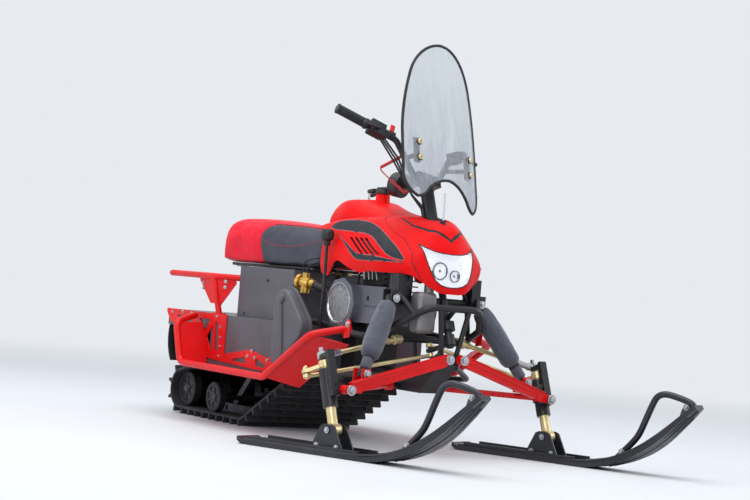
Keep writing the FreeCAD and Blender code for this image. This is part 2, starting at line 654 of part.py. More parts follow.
    # ski: local to the ground under its pivot
    bottom = [V(-372, 0, 12), V(-345, 0, 0), V(130, 0, 0)]
    low_arc = Part.Arc(V(130, 0, 0), V(330, 0, 36), V(500, 0, 150)).toShape()
    high_arc = Part.Arc(V(490, 0, 163), V(322, 0, 52), V(128, 0, 16)).toShape()
    ski_edges = [Part.makeLine(bottom[0], bottom[1]), Part.makeLine(bottom[1], bottom[2]), low_arc,
                 Part.makeLine(V(500, 0, 150), V(596, 0, 246)), Part.makeLine(V(596, 0, 246), V(586, 0, 258)),
                 Part.makeLine(V(586, 0, 258), V(490, 0, 163)), high_arc,
                 Part.makeLine(V(128, 0, 16), V(-345, 0, 16)), Part.makeLine(V(-345, 0, 16), V(-372, 0, 26)),
                 Part.makeLine(V(-372, 0, 26), V(-372, 0, 12))]
    blade = Part.Face(Part.Wire(ski_edges)).extrude(V(0, 2 * ski_half, 0))
    blade.translate(V(0, -ski_half, 0))
    plan = [(-380, -ski_half + 8), (-350, -ski_half), (400, -ski_half), (540, -44), (600, -26), (600, 26), (540, 44), (400, ski_half),
            (-350, ski_half), (-380, ski_half - 8)]
    blade = blade.common(plate_xy(plan, -10, 300))
    ribs = []
    for y in (-54, 46):
        ribs.append(box(-320, 150, y, y + 8, 10, 32))
    cheeks = []
    cheek_outline = [(-74, 10), (74, 10), (30, 98), (16, 104), (-16, 104), (-30, 98)]
    for y in (-33, 27):
        cheeks.append(plate_xz(cheek_outline, y, y + 6))
    ski_pin = rod((0, -36, ski_pivot_z - ground), (0, 36, ski_pivot_z - ground), 7.0)
    ski = joined([blade] + ribs + cheeks + [ski_pin])
    ski_base = (pivot.x, pivot.y, ground)
    save("ski_" + tag, placed(ski, ski_base, ski_turn))
    loop_points = [(574, 0, 240), (552, 0, 262), (470, 0, 281), (424, 0, 274), (408, 0, 236), (366, 0, 124), (300, 0, 54)]
    handle = tube_run(loop_points, 8, 22)
    handle = handle.cut(blade)
    save("ski_handle_" + tag, placed(handle, ski_base, ski_turn))

    # tie rod: from the pitman arm to the steering arm, below it on the right and above it on the left
    lift = 18.0 * s
    start = FreeCAD.Placement(V(col_x, 0, col_z), tilt).multVec(V(-arm_len, 0, lift))
    stop = FreeCAD.Placement(V(pin_x, s * stance, pin_z), tilt).multVec(V(-arm_len, 0, lift))
    tie = [Part.makeCylinder(7, (stop - start).Length, start, stop - start)]
    for end in (start, stop):
        tie.append(Part.makeCylinder(12, 12, end - axis * 6, axis))
    tie_rod = joined(tie)
    for end in (start, stop):
        tie_rod = tie_rod.cut(Part.makeCylinder(5.4, 40, end - axis * 20, axis))
    save("tie_rod_" + tag, tie_rod)

# --- steering column, pitman arm, clamp and handlebar
column = joined([
    rod((0, 0, -14), (0, 0, 612), 13),
    rod((0, 0, 452), (0, 0, 590), 24),
    rod((0, 0, -8), (0, 0, 30), 20),
    bar((0, 0, 0), (-arm_len, 0, 0), 24, 10),
    rod((-arm_len, 0, -5), (-arm_len, 0, 5), 14),
    rod((-arm_len, 0, -28), (-arm_len, 0, 28), 5),
    box(-22, 22, -62, 62, 586, 622),
    rod((0, 0, 440), (0, 0, 453), 34),
])
bend_p = (10.0, 160.0, 720.0)
grip_in = (-17.0, 250.0, 767.0)
grip_out = (-66.0, 370.0, 812.0)
bar_points = [(grip_out[0], -grip_out[1], grip_out[2]), (bend_p[0], -bend_p[1], bend_p[2]), (0, -66, 604), (0, 66, 604), bend_p, grip_out]
handle_tube = tube_run(bar_points, 11, 38)
column = column.cut(handle_tube)
save("steering_column", steered(column))
save("handlebar", steered(handle_tube))

grips = []
controls = []
for s in (-1, 1):
    a = V(grip_out[0], s * grip_out[1], grip_out[2])
    b = V(bend_p[0], s * bend_p[1], bend_p[2])
    u = (b - a).normalize()
    grip = Part.makeCylinder(17, 128, a - u * 6, u)
    grips.append(grip.cut(Part.makeCylinder(11 + gap, 140, a, u)))
    block = bar(tuple(a + u * 128), tuple(a + u * 186), 40, 46)
    lever = joined([rod(tuple(a + u * 150 + V(22, 0, -6)), tuple(a + u * 46 + V(62, 0, -52)), 5),
                    rod(tuple(a + u * 150 + V(12, 0, -2)), tuple(a + u * 150 + V(24, 0, -7)), 8)])
    knob = Part.makeSphere(8, a + u * 46 + V(62, 0, -52))
    controls.append(joined([block, lever, knob]).cut(Part.makeCylinder(11 + gap, 80, a + u * 120, u)))
# cables: from the hand controls behind the bar, then down the column's sleeve into the collar
cable_r = 3.4
sleeve_r = 24.0
cables = []
for s, count in ((-1, 3), (1, 2)):
    a = V(grip_out[0], s * grip_out[1], grip_out[2])
    b = V(bend_p[0], s * bend_p[1], bend_p[2])
    u = (b - a).normalize()
    for j in range(count):
        round_at = math.radians(110 + 22 * j)
        cx = (sleeve_r + cable_r + 1.4) * math.cos(round_at)
        cy = (sleeve_r + cable_r + 1.4) * math.sin(round_at) * s
        leave = a + u * 187 + V(-1 - 8 * j, 0, -16)
        route = [tuple(leave), (-15 - 9 * j, s * (124 + 5 * j), 666), (-30 - 5 * j, s * (54 - 9 * j), 552), (cx, cy, 505), (cx, cy, 453.2)]
        cables.append(tube_run(route, cable_r, 22))
save("control_cables", steered(Part.makeCompound(cables)))
save("grips", steered(Part.makeCompound(grips)))
save("hand_controls", steered(Part.makeCompound(controls)))

# flat strap of the stop switch, from the bar to the column's sleeve
strap_points = [(4, -118, 687), (-125, -90, 678), (-66, -44, 570), (-23.6, -30, 592)]
strap = [bar(p, q, 14, 2) for p, q in zip(strap_points, strap_points[1:])]
save("stop_strap", steered(joined(strap).cut(handle_tube)))

pod = Part.makeCylinder(44, 42, V(-96, 0, 618), V(-0.86, 0, 0.5))
stalk = rod((-22, 0, 606), (-104, 0, 622), 9)
save("gauge_pod", steered(joined([pod, stalk]).cut(box(-22, 40, -70, 70, 580, 640))))

# --- windshield: part of a cylinder leaning ahead of the column, with an edge strip
ws_r = 600.0
ws_x = 29.0              # the pane's middle, ahead of the steering axis
ws_c = ws_x - ws_r
ws_t = 4.0
ws_lean = 7.0
half_w = 222.0
bolt_y = 150.0


def ws_face(x):
    def p(y, z):
        return V(x, y, z)
    e = [
        Part.makeLine(p(half_w, 590), p(half_w - 2, 735)),
        Part.Arc(p(half_w - 2, 735), p(half_w - 17, 850), p(half_w - 40, 938)).toShape(),
        Part.Arc(p(half_w - 40, 938), p(half_w - 112, 1044), p(0, 1083)).toShape(),
        Part.Arc(p(0, 1083), p(112 - half_w, 1044), p(40 - half_w, 938)).toShape(),
        Part.Arc(p(40 - half_w, 938), p(17 - half_w, 850), p(2 - half_w, 735)).toShape(),
        Part.makeLine(p(2 - half_w, 735), p(-half_w, 590)),
        Part.Arc(p(-half_w, 590), p(18 - half_w, 520), p(58 - half_w, 490)).toShape(),
        Part.Arc(p(58 - half_w, 490), p(88 - half_w, 500), p(110 - half_w, 522)).toShape(),
        Part.Arc(p(110 - half_w, 522), p(0, 572), p(half_w - 110, 522)).toShape(),
        Part.Arc(p(half_w - 110, 522), p(half_w - 88, 500), p(half_w - 58, 490)).toShape(),
        Part.Arc(p(half_w - 58, 490), p(half_w - 18, 520), p(half_w, 590)).toShape(),
    ]
    return Part.Face(Part.Wire(e))


def ws_shell(r0, r1):
    big = Part.makeCylinder(r1, 800, V(ws_c, 0, 400), V(0, 0, 1))
    return big.cut(Part.makeCylinder(r0, 800, V(ws_c, 0, 400), V(0, 0, 1)))


lean = FreeCAD.Rotation(V(0, 1, 0), ws_lean)


def leaned(shape):
    return placed(shape, (0, 0, 0), lean)


face = ws_face(-100)
inner_face = face.makeOffset2D(-13)
tight_face = face.makeOffset2D(-4)
pane = ws_shell(ws_r, ws_r + ws_t).common(tight_face.extrude(V(260, 0, 0)))
rim = face.extrude(V(260, 0, 0)).cut(inner_face.extrude(V(260, 0, 0)))
rim = rim.common(ws_shell(ws_r - 3, ws_r + ws_t + 3))
groove = face.makeOffset2D(-4 + gap)
rim = rim.cut(ws_shell(ws_r - gap, ws_r + ws_t + gap).common(groove.extrude(V(260, 0, 0))))
mounts = []
face_x = ws_c + math.sqrt(ws_r * ws_r - (bolt_y + 14) ** 2)
lean_point = FreeCAD.Placement(V(0, 0, 0), lean)
for s in (-1, 1):
    plate = box(face_x - 8, face_x - 2, min(s * 136, s * 164), max(s * 136, s * 164), 620, 708)
    target = lean_point.multVec(V(face_x - 5, s * 142, 650))
    arm = rod((8, s * 112, 664), tuple(target), 8)
    mounts.append(joined([leaned(plate), arm]).cut(handle_tube))
    for z in (635, 692):
        bolt = rod((face_x - 4, s * bolt_y, z), (face_x + 18, s * bolt_y, z), 5)
        mounts.append(leaned(bolt))
        pane = pane.cut(rod((face_x - 30, s * bolt_y, z), (face_x + 40, s * bolt_y, z), 5 + gap))
save("windshield", steered(leaned(pane)))
save("windshield_trim", steered(leaned(rim)))
save("windshield_mount", steered(joined(mounts)))

# --- carburettor
carb = joined([
    rod((398, -196, 612), (448, -183, 608), 21),
    rod((424, -190, 572), (424, -190, 612), 17),
    rod((424, -190, 612), (424, -190, 646), 13),
    rod((392, -200, 614), (404, -196, 612), 27),
    rod((446, -184, 608), (462, -176, 604), 17),
])
save("carburettor", carb)

# --- engine with its fan housing and exhaust
engine = [
    box(596, 760, -130, 130, 452, 590),
    rod((684, 130, 540), (684, 180, 540), 62),
    box(640, 750, -58, 58, 590, 746),
]
for i in range(7):
    z = 604 + 20 * i
    engine.append(box(624, 768, -74, 74, z, z + 5))
engine.append(rod((600, -110, 560), (462, -176, 604), 15))
save("engine", joined(engine).cut(carb))

fan = (684.0, 549.0)
housing = rod((fan[0], -196, fan[1]), (fan[0], -130, fan[1]), 76)
duct = box(700, 918, -166, -132, 486, 618).fuse(box(772, 918, -166, -60, 486, 618))
duct = duct.cut(box(790, 880, -170, -162, 540, 548))
save("cooling_shroud", joined([housing, duct]))
save("fan_grille", rod((fan[0], -210, fan[1]), (fan[0], -196, fan[1]), 74))

exhaust = tube_run([(768 + gap, -50, 690), (1036, -66, 690), (1036, -66, 600)], 17, 40)
silencer = box(1004, 1068, -122, -44, 470, 612)
silencer = silencer.makeFillet(18, silencer.Edges)
save("exhaust", joined([exhaust, silencer]).cut(box(700, 768 + gap, -120, 0, 600, 760)))

lever = tube_run([(590, -218.3, 464), (612, -227, 600), (608, -227, 766)], 6, 60)
knob = Part.makeCylinder(13, 24, V(608, -227, 762), V(0, 0, 1))
knob = knob.fuse(Part.makeCone(13, 19, 20, V(608, -227, 786), V(0, 0, 1)))
save("gear_lever", joined([lever, knob]))

hood_rod = joined([rod((993, 0, 836), (993, 0, 872), 9), rod((993, 0, 868), (993, 0, 962), 3.5)])
save("hood_rod", hood_rod.cut(shell_form(hood_stations, -gap, 0)))
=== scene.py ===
import math

import bmesh
import bpy
from mathutils import Matrix, Vector, noise
from mathutils.bvhtree import BVHTree
from mathutils.kdtree import KDTree


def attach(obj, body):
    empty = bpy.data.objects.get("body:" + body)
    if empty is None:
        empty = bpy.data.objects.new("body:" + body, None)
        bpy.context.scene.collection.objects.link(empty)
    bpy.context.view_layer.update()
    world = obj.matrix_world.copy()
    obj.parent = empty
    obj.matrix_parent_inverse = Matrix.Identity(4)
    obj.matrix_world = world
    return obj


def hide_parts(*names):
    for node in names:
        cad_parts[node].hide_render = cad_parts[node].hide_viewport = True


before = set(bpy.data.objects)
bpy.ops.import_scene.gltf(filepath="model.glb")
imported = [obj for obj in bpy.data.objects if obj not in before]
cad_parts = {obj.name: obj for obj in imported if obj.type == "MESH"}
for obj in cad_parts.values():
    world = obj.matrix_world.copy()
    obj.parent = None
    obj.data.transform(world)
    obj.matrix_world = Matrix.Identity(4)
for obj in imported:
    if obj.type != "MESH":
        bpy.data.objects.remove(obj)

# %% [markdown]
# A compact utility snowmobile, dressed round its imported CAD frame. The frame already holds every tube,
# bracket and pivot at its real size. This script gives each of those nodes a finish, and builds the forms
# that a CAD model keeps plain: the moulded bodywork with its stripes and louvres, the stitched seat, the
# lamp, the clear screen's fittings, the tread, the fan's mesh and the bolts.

scene = bpy.context.scene
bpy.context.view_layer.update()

# %% [markdown]
# Places are written in millimetres, with heights from the same datum as the part's source, 50 mm under the
# ground. One helper turns them into Blender's metres. The steering stands turned to the left, so the pieces
# on the handlebar and on the skis are written in local frames and turned by a matrix, as a fitter would
# measure them on the straightened machine.

# %% Places and local frames
DATUM = 50.0
RAKE, TURN, SCREEN_LEAN = 22.0, 19.0, 7.0
COLUMN_FOOT = (1092.0, 0.0, 442.0)
STANCE = 450.0
SIDES = ((-1, "r"), (1, "l"))
FORWARD, UPWARD, RIGHTWARD = Vector((1, 0, 0)), Vector((0, 0, 1)), Vector((0, -1, 0))


def at(x, y, z):
    return Vector((x, y, z - DATUM)) / 1000


def turned(degrees, axis):
    return Matrix.Rotation(math.radians(degrees), 4, axis)


STEER = Matrix.Translation(at(*COLUMN_FOOT)) @ turned(-RAKE, "Y") @ turned(TURN, "Z")
SCREEN = STEER @ turned(SCREEN_LEAN, "Y")
SKI = {s: Matrix.Translation(Vector((1102.85, s * STANCE, 0)) / 1000) @ turned(TURN, "Z") for s in (-1, 1)}


def on(matrix, x, y, z):
    """A place in a local frame, in millimetres, as a point of the model."""
    return matrix @ (Vector((x, y, z)) / 1000)

# %% [markdown]
# Camera first. The photograph was taken from the front right, a little above the skis, with a long lens
# and the camera rolled by under five degrees. The lens is given for a 36 mm sensor across 750 pixels.

# %% Camera
CAMERA_AT = Vector((6.571, -3.9476, 0.5774))
SENSOR, IMAGE_WIDTH, FOCAL_PIXELS = 36.0, 750.0, 1963.6
AZIMUTH, ELEVATION, ROLL = (math.radians(a) for a in (56.623, -0.975, 4.698))
back = Vector((math.sin(AZIMUTH) * math.cos(ELEVATION), -math.cos(AZIMUTH) * math.cos(ELEVATION),
               math.sin(ELEVATION)))
level = UPWARD.cross(back).normalized()
upright = back.cross(level)
right = math.cos(ROLL) * level + math.sin(ROLL) * upright
up = -math.sin(ROLL) * level + math.cos(ROLL) * upright
camera = bpy.data.objects.new("camera", bpy.data.cameras.new("camera"))
scene.collection.objects.link(camera)
camera.matrix_world = Matrix((
    (right.x, up.x, back.x, CAMERA_AT.x), (right.y, up.y, back.y, CAMERA_AT.y),
    (right.z, up.z, back.z, CAMERA_AT.z), (0, 0, 0, 1)))
camera.data.sensor_width = SENSOR
camera.data.lens = FOCAL_PIXELS * SENSOR / IMAGE_WIDTH
camera.data.clip_end = 200.0
scene.camera = camera
print("lens, mm:", round(camera.data.lens, 2))

# %% [markdown]
# Light. An overcast sky lights the real machine, so most light comes from one broad soft lamp overhead and
# a pale world, with weaker lamps at the front and on both sides to draw the edges. The world shows nearly
# white to the camera and to reflections, and gives less light to the object, so reds stay as written.

# %% World, floor and lamps
def node_in(tree, kind, values=None, **settings):
    """A node in a tree, with its settings and the values of its sockets."""
    made = tree.nodes.new(kind)
    for key, value in settings.items():
        setattr(made, key, value)
    for socket, value in (values or {}).items():
        made.inputs[socket].default_value = value
    return made


def wire(tree, *pairs):
    for a, b in pairs:
        tree.links.new(a, b)


def seeing_rays(tree):
    """One for rays of the camera, of reflections and through clear plastic, nought for other light."""
    ray = node_in(tree, "ShaderNodeLightPath").outputs
    either = node_in(tree, "ShaderNodeMath", operation="MAXIMUM")
    all_three = node_in(tree, "ShaderNodeMath", operation="MAXIMUM")
    wire(tree, (ray["Is Camera Ray"], either.inputs[0]), (ray["Is Glossy Ray"], either.inputs[1]),
         (either.outputs[0], all_three.inputs[0]), (ray["Is Transmission Ray"], all_three.inputs[1]))
    return all_three.outputs[0]


HORIZON = (0.80, 0.83, 0.87, 1)
world = bpy.data.worlds.new("pale_sky")
world.use_nodes = True
scene.world = world
tree = world.node_tree
tree.nodes.clear()
soft = node_in(tree, "ShaderNodeBackground", {"Color": (0.86, 0.92, 1.0, 1), "Strength": 0.62})
shown = node_in(tree, "ShaderNodeBackground", {"Color": HORIZON, "Strength": 1.0})
mixed = node_in(tree, "ShaderNodeMixShader")
out = node_in(tree, "ShaderNodeOutputWorld")
wire(tree, (seeing_rays(tree), mixed.inputs[0]), (soft.outputs[0], mixed.inputs[1]),
     (shown.outputs[0], mixed.inputs[2]), (mixed.outputs[0], out.inputs["Surface"]))


def lamp(name, place, aim, size, power, colour=(1, 1, 1)):
    data = bpy.data.lights.new(name, "AREA")
    data.shape = "RECTANGLE"
    data.size, data.size_y = size
    data.energy = power
    data.color = colour
    obj = bpy.data.objects.new(name, data)
    scene.collection.objects.link(obj)
    obj.location = place
    obj.rotation_euler = (Vector(aim) - Vector(place)).to_track_quat("-Z", "Y").to_euler()
    return obj


lamp("sky_panel", (0.8, -0.6, 4.2), (0.6, 0, 0.4), (5.0, 4.0), 150)
lamp("front_panel", (4.6, -3.4, 2.4), (0.7, 0, 0.5), (2.6, 1.8), 62)
lamp("side_panel", (-1.6, -4.6, 1.7), (0.2, 0, 0.4), (2.4, 1.6), 34)
lamp("far_panel", (2.4, 4.4, 1.9), (0.7, 0, 0.5), (2.4, 1.6), 30)

floor_mesh = bmesh.new()
bmesh.ops.create_grid(floor_mesh, x_segments=1, y_segments=1, size=60.0)
mesh = bpy.data.meshes.new("floor")
floor_mesh.to_mesh(mesh)
floor_mesh.free()
floor = bpy.data.objects.new("floor", mesh)
scene.collection.objects.link(floor)
scene.view_settings.view_transform = "Standard"

# %% [markdown]
# Finishes. Most are one Principled shader with three noises on Object coordinates: a broad one
# that shifts the colour a little, as real paint and rubber are never even, a middle one that varies the
# roughness where hands and snow have rubbed, and a fine one that gives the surface its grain through a
# bump. Colours are written as a camera would store them and turned into linear light by a helper.

# %% Colour and finish helpers
def tone(r, g, b):
    """Stored 0-255 colour as linear light."""
    def one(v):
        v = v / 255
        return v / 12.92 if v <= 0.04045 else ((v + 0.055) / 1.055) ** 2.4
    return (one(r), one(g), one(b), 1.0)


class Finish:
    """A material under construction: its tree, its shader, and a few ways to add to them."""

    def __init__(self, name):
        self.material = bpy.data.materials.new(name)
        self.material.use_nodes = True
        self.tree = self.material.node_tree
        self.shader = self.tree.nodes["Principled BSDF"]
        self.place = self.tree.nodes.new("ShaderNodeTexCoord")

    def node(self, kind, values=None, **settings):
        return node_in(self.tree, kind, values, **settings)

    def link(self, a, b):
        self.tree.links.new(a, b)

    def feed(self, node, **values):
        """Each named socket gets a value or a link."""
        for key, value in values.items():
            socket = node.inputs[key.replace("_", " ")]
            if isinstance(value, bpy.types.NodeSocket):
                self.link(value, socket)
            else:
                socket.default_value = value

    def noise(self, scale, detail=3.0, stretch=(1, 1, 1), rough=0.5):
        turn = self.node("ShaderNodeMapping", {"Scale": stretch})
        self.link(self.place.outputs["Object"], turn.inputs["Vector"])
        made = self.node("ShaderNodeTexNoise", {"Scale": scale, "Detail": detail, "Roughness": rough})
        self.link(turn.outputs[0], made.inputs["Vector"])
        return made.outputs["Fac"]

    def between(self, value, low, high, out_low=0.0, out_high=1.0):
        made = self.node("ShaderNodeMapRange", {"From Min": low, "From Max": high, "To Min": out_low,
                                                "To Max": out_high})
        self.link(value, made.inputs["Value"])
        return made.outputs["Result"]

    def mix(self, factor, a, b):
        made = self.node("ShaderNodeMix", {6: a, 7: b}, data_type="RGBA")
        self.link(factor, made.inputs[0])
        return made.outputs[2]

    def maths(self, operation, a, b):
        made = self.node("ShaderNodeMath", operation=operation)
        self.link(a, made.inputs[0])
        if isinstance(b, float):
            made.inputs[1].default_value = b
        else:
            self.link(b, made.inputs[1])
        return made.outputs[0]

    def bump(self, height, strength, distance, below=None):
        made = self.node("ShaderNodeBump", {"Strength": strength, "Distance": distance})
        self.link(height, made.inputs["Height"])
        if below is not None:
            self.link(below, made.inputs["Normal"])
        self.link(made.outputs[0], self.shader.inputs["Normal"])
        return made.outputs[0]

    def tint(self, scale, colour, other):
        """A colour that drifts to another over broad patches."""
        return self.mix(self.between(self.noise(scale, 4.0), 0.35, 0.7), tone(*colour), tone(*other))


def basic(name, colour, other, rough=(0.35, 0.5), metallic=0.0, tint_scale=6.0, grain=(900.0, 0.12, 0.0004),
          coat=0.0, sheen=0.0, stretch=(1, 1, 1), specular=0.5):
    """The common finish: colour drifting to another, roughness between two values, a grain."""
    f = Finish(name)
    worn = f.between(f.noise(tint_scale * 5, 3.0, stretch), 0.3, 0.7, *rough)
    f.feed(f.shader, Base_Color=f.tint(tint_scale, colour, other), Roughness=worn, Metallic=metallic,
           Coat_Weight=coat, Coat_Roughness=0.12, Specular_IOR_Level=specular, Sheen_Weight=sheen)
    f.bump(f.noise(grain[0], 2.0, stretch), grain[1], grain[2])
    return f.material

# %% Paints, plastics, rubbers and metals
red_paint = basic("red_paint", (226, 12, 16), (206, 8, 12), (0.34, 0.5), specular=0.35)
red_panel = basic("red_panel", (232, 4, 7), (220, 3, 6), (0.4, 0.54), grain=(500.0, 0.05, 0.0004),
                  specular=0.16)
grey_paint = basic("grey_paint", (84, 82, 90), (72, 71, 79), (0.42, 0.56), coat=0.15)
black_frame = basic("black_frame", (27, 27, 31), (19, 19, 22), (0.36, 0.52), coat=0.1, specular=0.4)
black_plastic = basic("black_plastic", (30, 31, 35), (22, 23, 26), (0.4, 0.58), grain=(1400.0, 0.25, 0.0005))
ski_plastic = basic("ski_plastic", (36, 38, 46), (24, 25, 31), (0.28, 0.46), grain=(260.0, 0.12, 0.001),
                    stretch=(1, 4, 1))
rubber = basic("rubber", (33, 33, 36), (22, 22, 24), (0.62, 0.82), grain=(700.0, 0.35, 0.0006))
track_rubber = basic("track_rubber", (46, 46, 49), (30, 30, 32), (0.66, 0.86), tint_scale=14.0,
                     grain=(420.0, 0.45, 0.001))
dark_steel = basic("dark_steel", (92, 94, 100), (70, 72, 78), (0.36, 0.52), metallic=0.85)
bright_steel = basic("bright_steel", (196, 198, 200), (168, 170, 174), (0.2, 0.36), metallic=1.0)
zinc_gold = basic("zinc_gold", (222, 206, 160), (198, 178, 128), (0.3, 0.46), metallic=0.72, tint_scale=18.0)
carb_brass = basic("carb_brass", (206, 168, 84), (164, 126, 52), (0.3, 0.5), metallic=0.85, tint_scale=24.0)
cast_metal = basic("cast_metal", (150, 146, 146), (118, 116, 117), (0.45, 0.62), metallic=0.7,
                   grain=(600.0, 0.4, 0.0006))
engine_black = basic("engine_black", (40, 40, 44), (30, 30, 33), (0.45, 0.62), grain=(700.0, 0.3, 0.0005))
duct_plastic = basic("duct_plastic", (104, 107, 117), (90, 92, 102), (0.45, 0.6),
                     grain=(1200.0, 0.2, 0.0004))
stripe_grey = basic("stripe_grey", (40, 43, 51), (33, 35, 42), (0.42, 0.55), grain=(900.0, 0.05, 0.0002),
                    specular=0.25)
stripe_edge = basic("stripe_edge", (112, 104, 110), (100, 94, 100), (0.38, 0.48),
                    grain=(900.0, 0.05, 0.0002))
white_plastic = basic("white_plastic", (226, 226, 222), (208, 208, 204), (0.4, 0.55))
red_web = basic("red_web", (206, 16, 30), (182, 10, 24), (0.6, 0.75), grain=(1600.0, 0.5, 0.0006), sheen=0.3)
red_switch = basic("red_switch", (224, 24, 22), (206, 16, 18), (0.3, 0.42))
clear_rod = basic("clear_rod", (214, 216, 220), (196, 198, 204), (0.18, 0.3))
sleeve_cloth = basic("sleeve_cloth", (74, 78, 92), (56, 59, 71), (0.62, 0.8),
                     grain=(1500.0, 0.4, 0.0006), sheen=0.35)
floor_white = basic("floor_white", (226, 228, 231), (221, 223, 227), (0.55, 0.7), tint_scale=0.7,
                    grain=(40.0, 0.03, 0.001))
floor.data.materials.append(floor_white)


def fade_far(material, near, far, colour):
    """The floor turns into the background far from the machine, for the camera and reflections only."""
    tree = material.node_tree
    place = node_in(tree, "ShaderNodeTexCoord")
    reach = node_in(tree, "ShaderNodeVectorMath", operation="LENGTH")
    share = node_in(tree, "ShaderNodeMapRange", {"From Min": near, "From Max": far},
                    interpolation_type="SMOOTHSTEP")
    factor = node_in(tree, "ShaderNodeMath", operation="MULTIPLY")
    glow = node_in(tree, "ShaderNodeEmission", {"Color": colour})
    blend = node_in(tree, "ShaderNodeMixShader")
    wire(tree, (place.outputs["Object"], reach.inputs[0]), (reach.outputs["Value"], share.inputs["Value"]),
         (share.outputs["Result"], factor.inputs[0]), (seeing_rays(tree), factor.inputs[1]),
         (factor.outputs[0], blend.inputs[0]), (tree.nodes["Principled BSDF"].outputs[0], blend.inputs[1]),
         (glow.outputs[0], blend.inputs[2]),
         (blend.outputs[0], tree.nodes["Material Output"].inputs["Surface"]))


FADE_NEAR, FADE_FAR = 1.8, 6.5
fade_far(floor_white, FADE_NEAR, FADE_FAR, HORIZON)

lamp_finish = Finish("lamp_clear")
lamp_finish.feed(lamp_finish.shader, Base_Color=tone(250, 252, 255), Transmission_Weight=1.0, IOR=1.25,
                 Roughness=lamp_finish.between(lamp_finish.noise(30.0, 4.0), 0.45, 0.75, 0.0, 0.03))
lamp_clear = lamp_finish.material
chrome = basic("chrome", (238, 240, 242), (226, 228, 232), (0.04, 0.1), metallic=1.0,
               grain=(300.0, 0.02, 0.0002))

# %% [markdown]
# The windshield is a bent sheet of clear plastic that has seen use: fine scratches and a dull haze,
# heaviest low down. The sheet itself is the CAD's, so only its finish is made here. The haze is a mix of
# a clear shader and a soft grey one, so it scatters light and still lets the handlebar behind it show
# faintly.

# %% Hazy clear plastic
def hazed_screen():
    f = Finish("hazed_screen")
    f.feed(f.shader, Base_Color=tone(236, 240, 242), Transmission_Weight=1.0, IOR=1.12,
           Roughness=f.between(f.noise(18.0, 5.0, (1, 1, 0.25)), 0.35, 0.75, 0.02, 0.16))
    haze = f.node("ShaderNodeBsdfPrincipled", {"Base Color": tone(176, 180, 188), "Roughness": 0.55})
    spot = f.node("ShaderNodeSeparateXYZ")
    specks = f.node("ShaderNodeTexVoronoi", {"Scale": 210.0})
    place = f.place.outputs["Object"]
    wire(f.tree, (place, spot.inputs[0]), (place, specks.inputs["Vector"]))
    low_down = f.between(spot.outputs["Z"], 0.85, 1.36, 0.62, 0.10)
    streaks = f.between(f.noise(26.0, 6.0, (1, 1, 0.12), 0.65), 0.35, 0.75, 0.55, 1.25)
    dots = f.between(specks.outputs["Distance"], 0.10, 0.17, 0.35, 0.0)
    patchy = f.between(f.noise(9.0, 3.0), 0.48, 0.62)
    share = f.maths("ADD", f.maths("MULTIPLY", low_down, streaks), f.maths("MULTIPLY", dots, patchy))
    joined = f.node("ShaderNodeMixShader")
    wire(f.tree, (f.maths("MINIMUM", share, 0.85), joined.inputs[0]),
         (f.shader.outputs[0], joined.inputs[1]), (haze.outputs[0], joined.inputs[2]),
         (joined.outputs[0], f.tree.nodes["Material Output"].inputs["Surface"]))
    return f.material

# %% [markdown]
# A CAD node keeps its mesh, but its triangles don't share corners, so it would shade flat. A Weld modifier
# joins them, and an Edge Split at 32 degrees keeps its real edges crisp while curved walls turn smooth. The
# larger sharp-edged ones get a small rounded edge from a Bevel instead.

# %% Finishes of the CAD nodes
def pairs(*names):
    return tuple(name + end for name in names for end in ("_r", "_l"))


FINISH = {
    red_paint: pairs("side_plate", "foot_tube", "footboard", "lower_arm") + ("rear_rack",),
    red_panel: pairs("cowl_side") + ("cowl_front", "tank_cover"),
    grey_paint: ("tunnel", "rear_deck", "seat_box", "chain_case"),
    black_frame: pairs("ski_handle", "knuckle", "shock") + ("front_frame", "steering_column", "handlebar",
                                                            "windshield_mount"),
    black_plastic: ("track_wheels", "gauge_pod", "tank_cap", "hand_controls", "control_cables", "seat_base",
                    "gear_lever"),
    ski_plastic: pairs("ski"), rubber: ("snow_flap", "grips", "windshield_trim", "seat_cushion"),
    track_rubber: ("track",), dark_steel: ("track_suspension",), cast_metal: ("fan_grille", "exhaust"),
    zinc_gold: pairs("spindle", "tie_rod", "upper_link"), carb_brass: ("carburettor",),
    engine_black: ("engine",), duct_plastic: ("cooling_shroud",), sleeve_cloth: pairs("shock_sleeve"),
    red_web: ("stop_strap",),
    hazed_screen(): ("windshield",), lamp_clear: ("headlight",), clear_rod: ("hood_rod",),
}
ROUNDED = {"seat_box": 2.0, "tunnel": 1.5, "rear_deck": 1.5, "cooling_shroud": 5.0, "engine": 2.0,
           "hand_controls": 3.0, "gauge_pod": 3.0, "seat_base": 1.5}
for width, nodes in ((0.9, pairs("side_plate", "footboard")), (2.0, pairs("knuckle")), (1.8, pairs("ski"))):
    ROUNDED.update({node: width for node in nodes})


WELD_WITHIN, FLAT_UNDER, ROUND_OVER, CRISP_OVER = 0.00002, 1.5, 40, 32


def dress(node, material):
    """A finish, joined corners, and either rounded edges or crisp ones."""
    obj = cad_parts[node]
    obj.data.materials.clear()
    obj.data.materials.append(material)
    obj.data.polygons.foreach_set("use_smooth", [True] * len(obj.data.polygons))
    weld = obj.modifiers.new("weld", "WELD")
    weld.merge_threshold = WELD_WITHIN
    if node in ROUNDED:
        flat = obj.modifiers.new("flat", "DECIMATE")
        flat.decimate_type = "DISSOLVE"
        flat.angle_limit = math.radians(FLAT_UNDER)
        bevel = obj.modifiers.new("rounded", "BEVEL")
        bevel.width = ROUNDED[node] / 1000
        bevel.segments = 3
        bevel.limit_method = "ANGLE"
        bevel.angle_limit = math.radians(ROUND_OVER)
        even = obj.modifiers.new("even", "WEIGHTED_NORMAL")
        even.keep_sharp = True
    else:
        split = obj.modifiers.new("edges", "EDGE_SPLIT")
        split.split_angle = math.radians(CRISP_OVER)


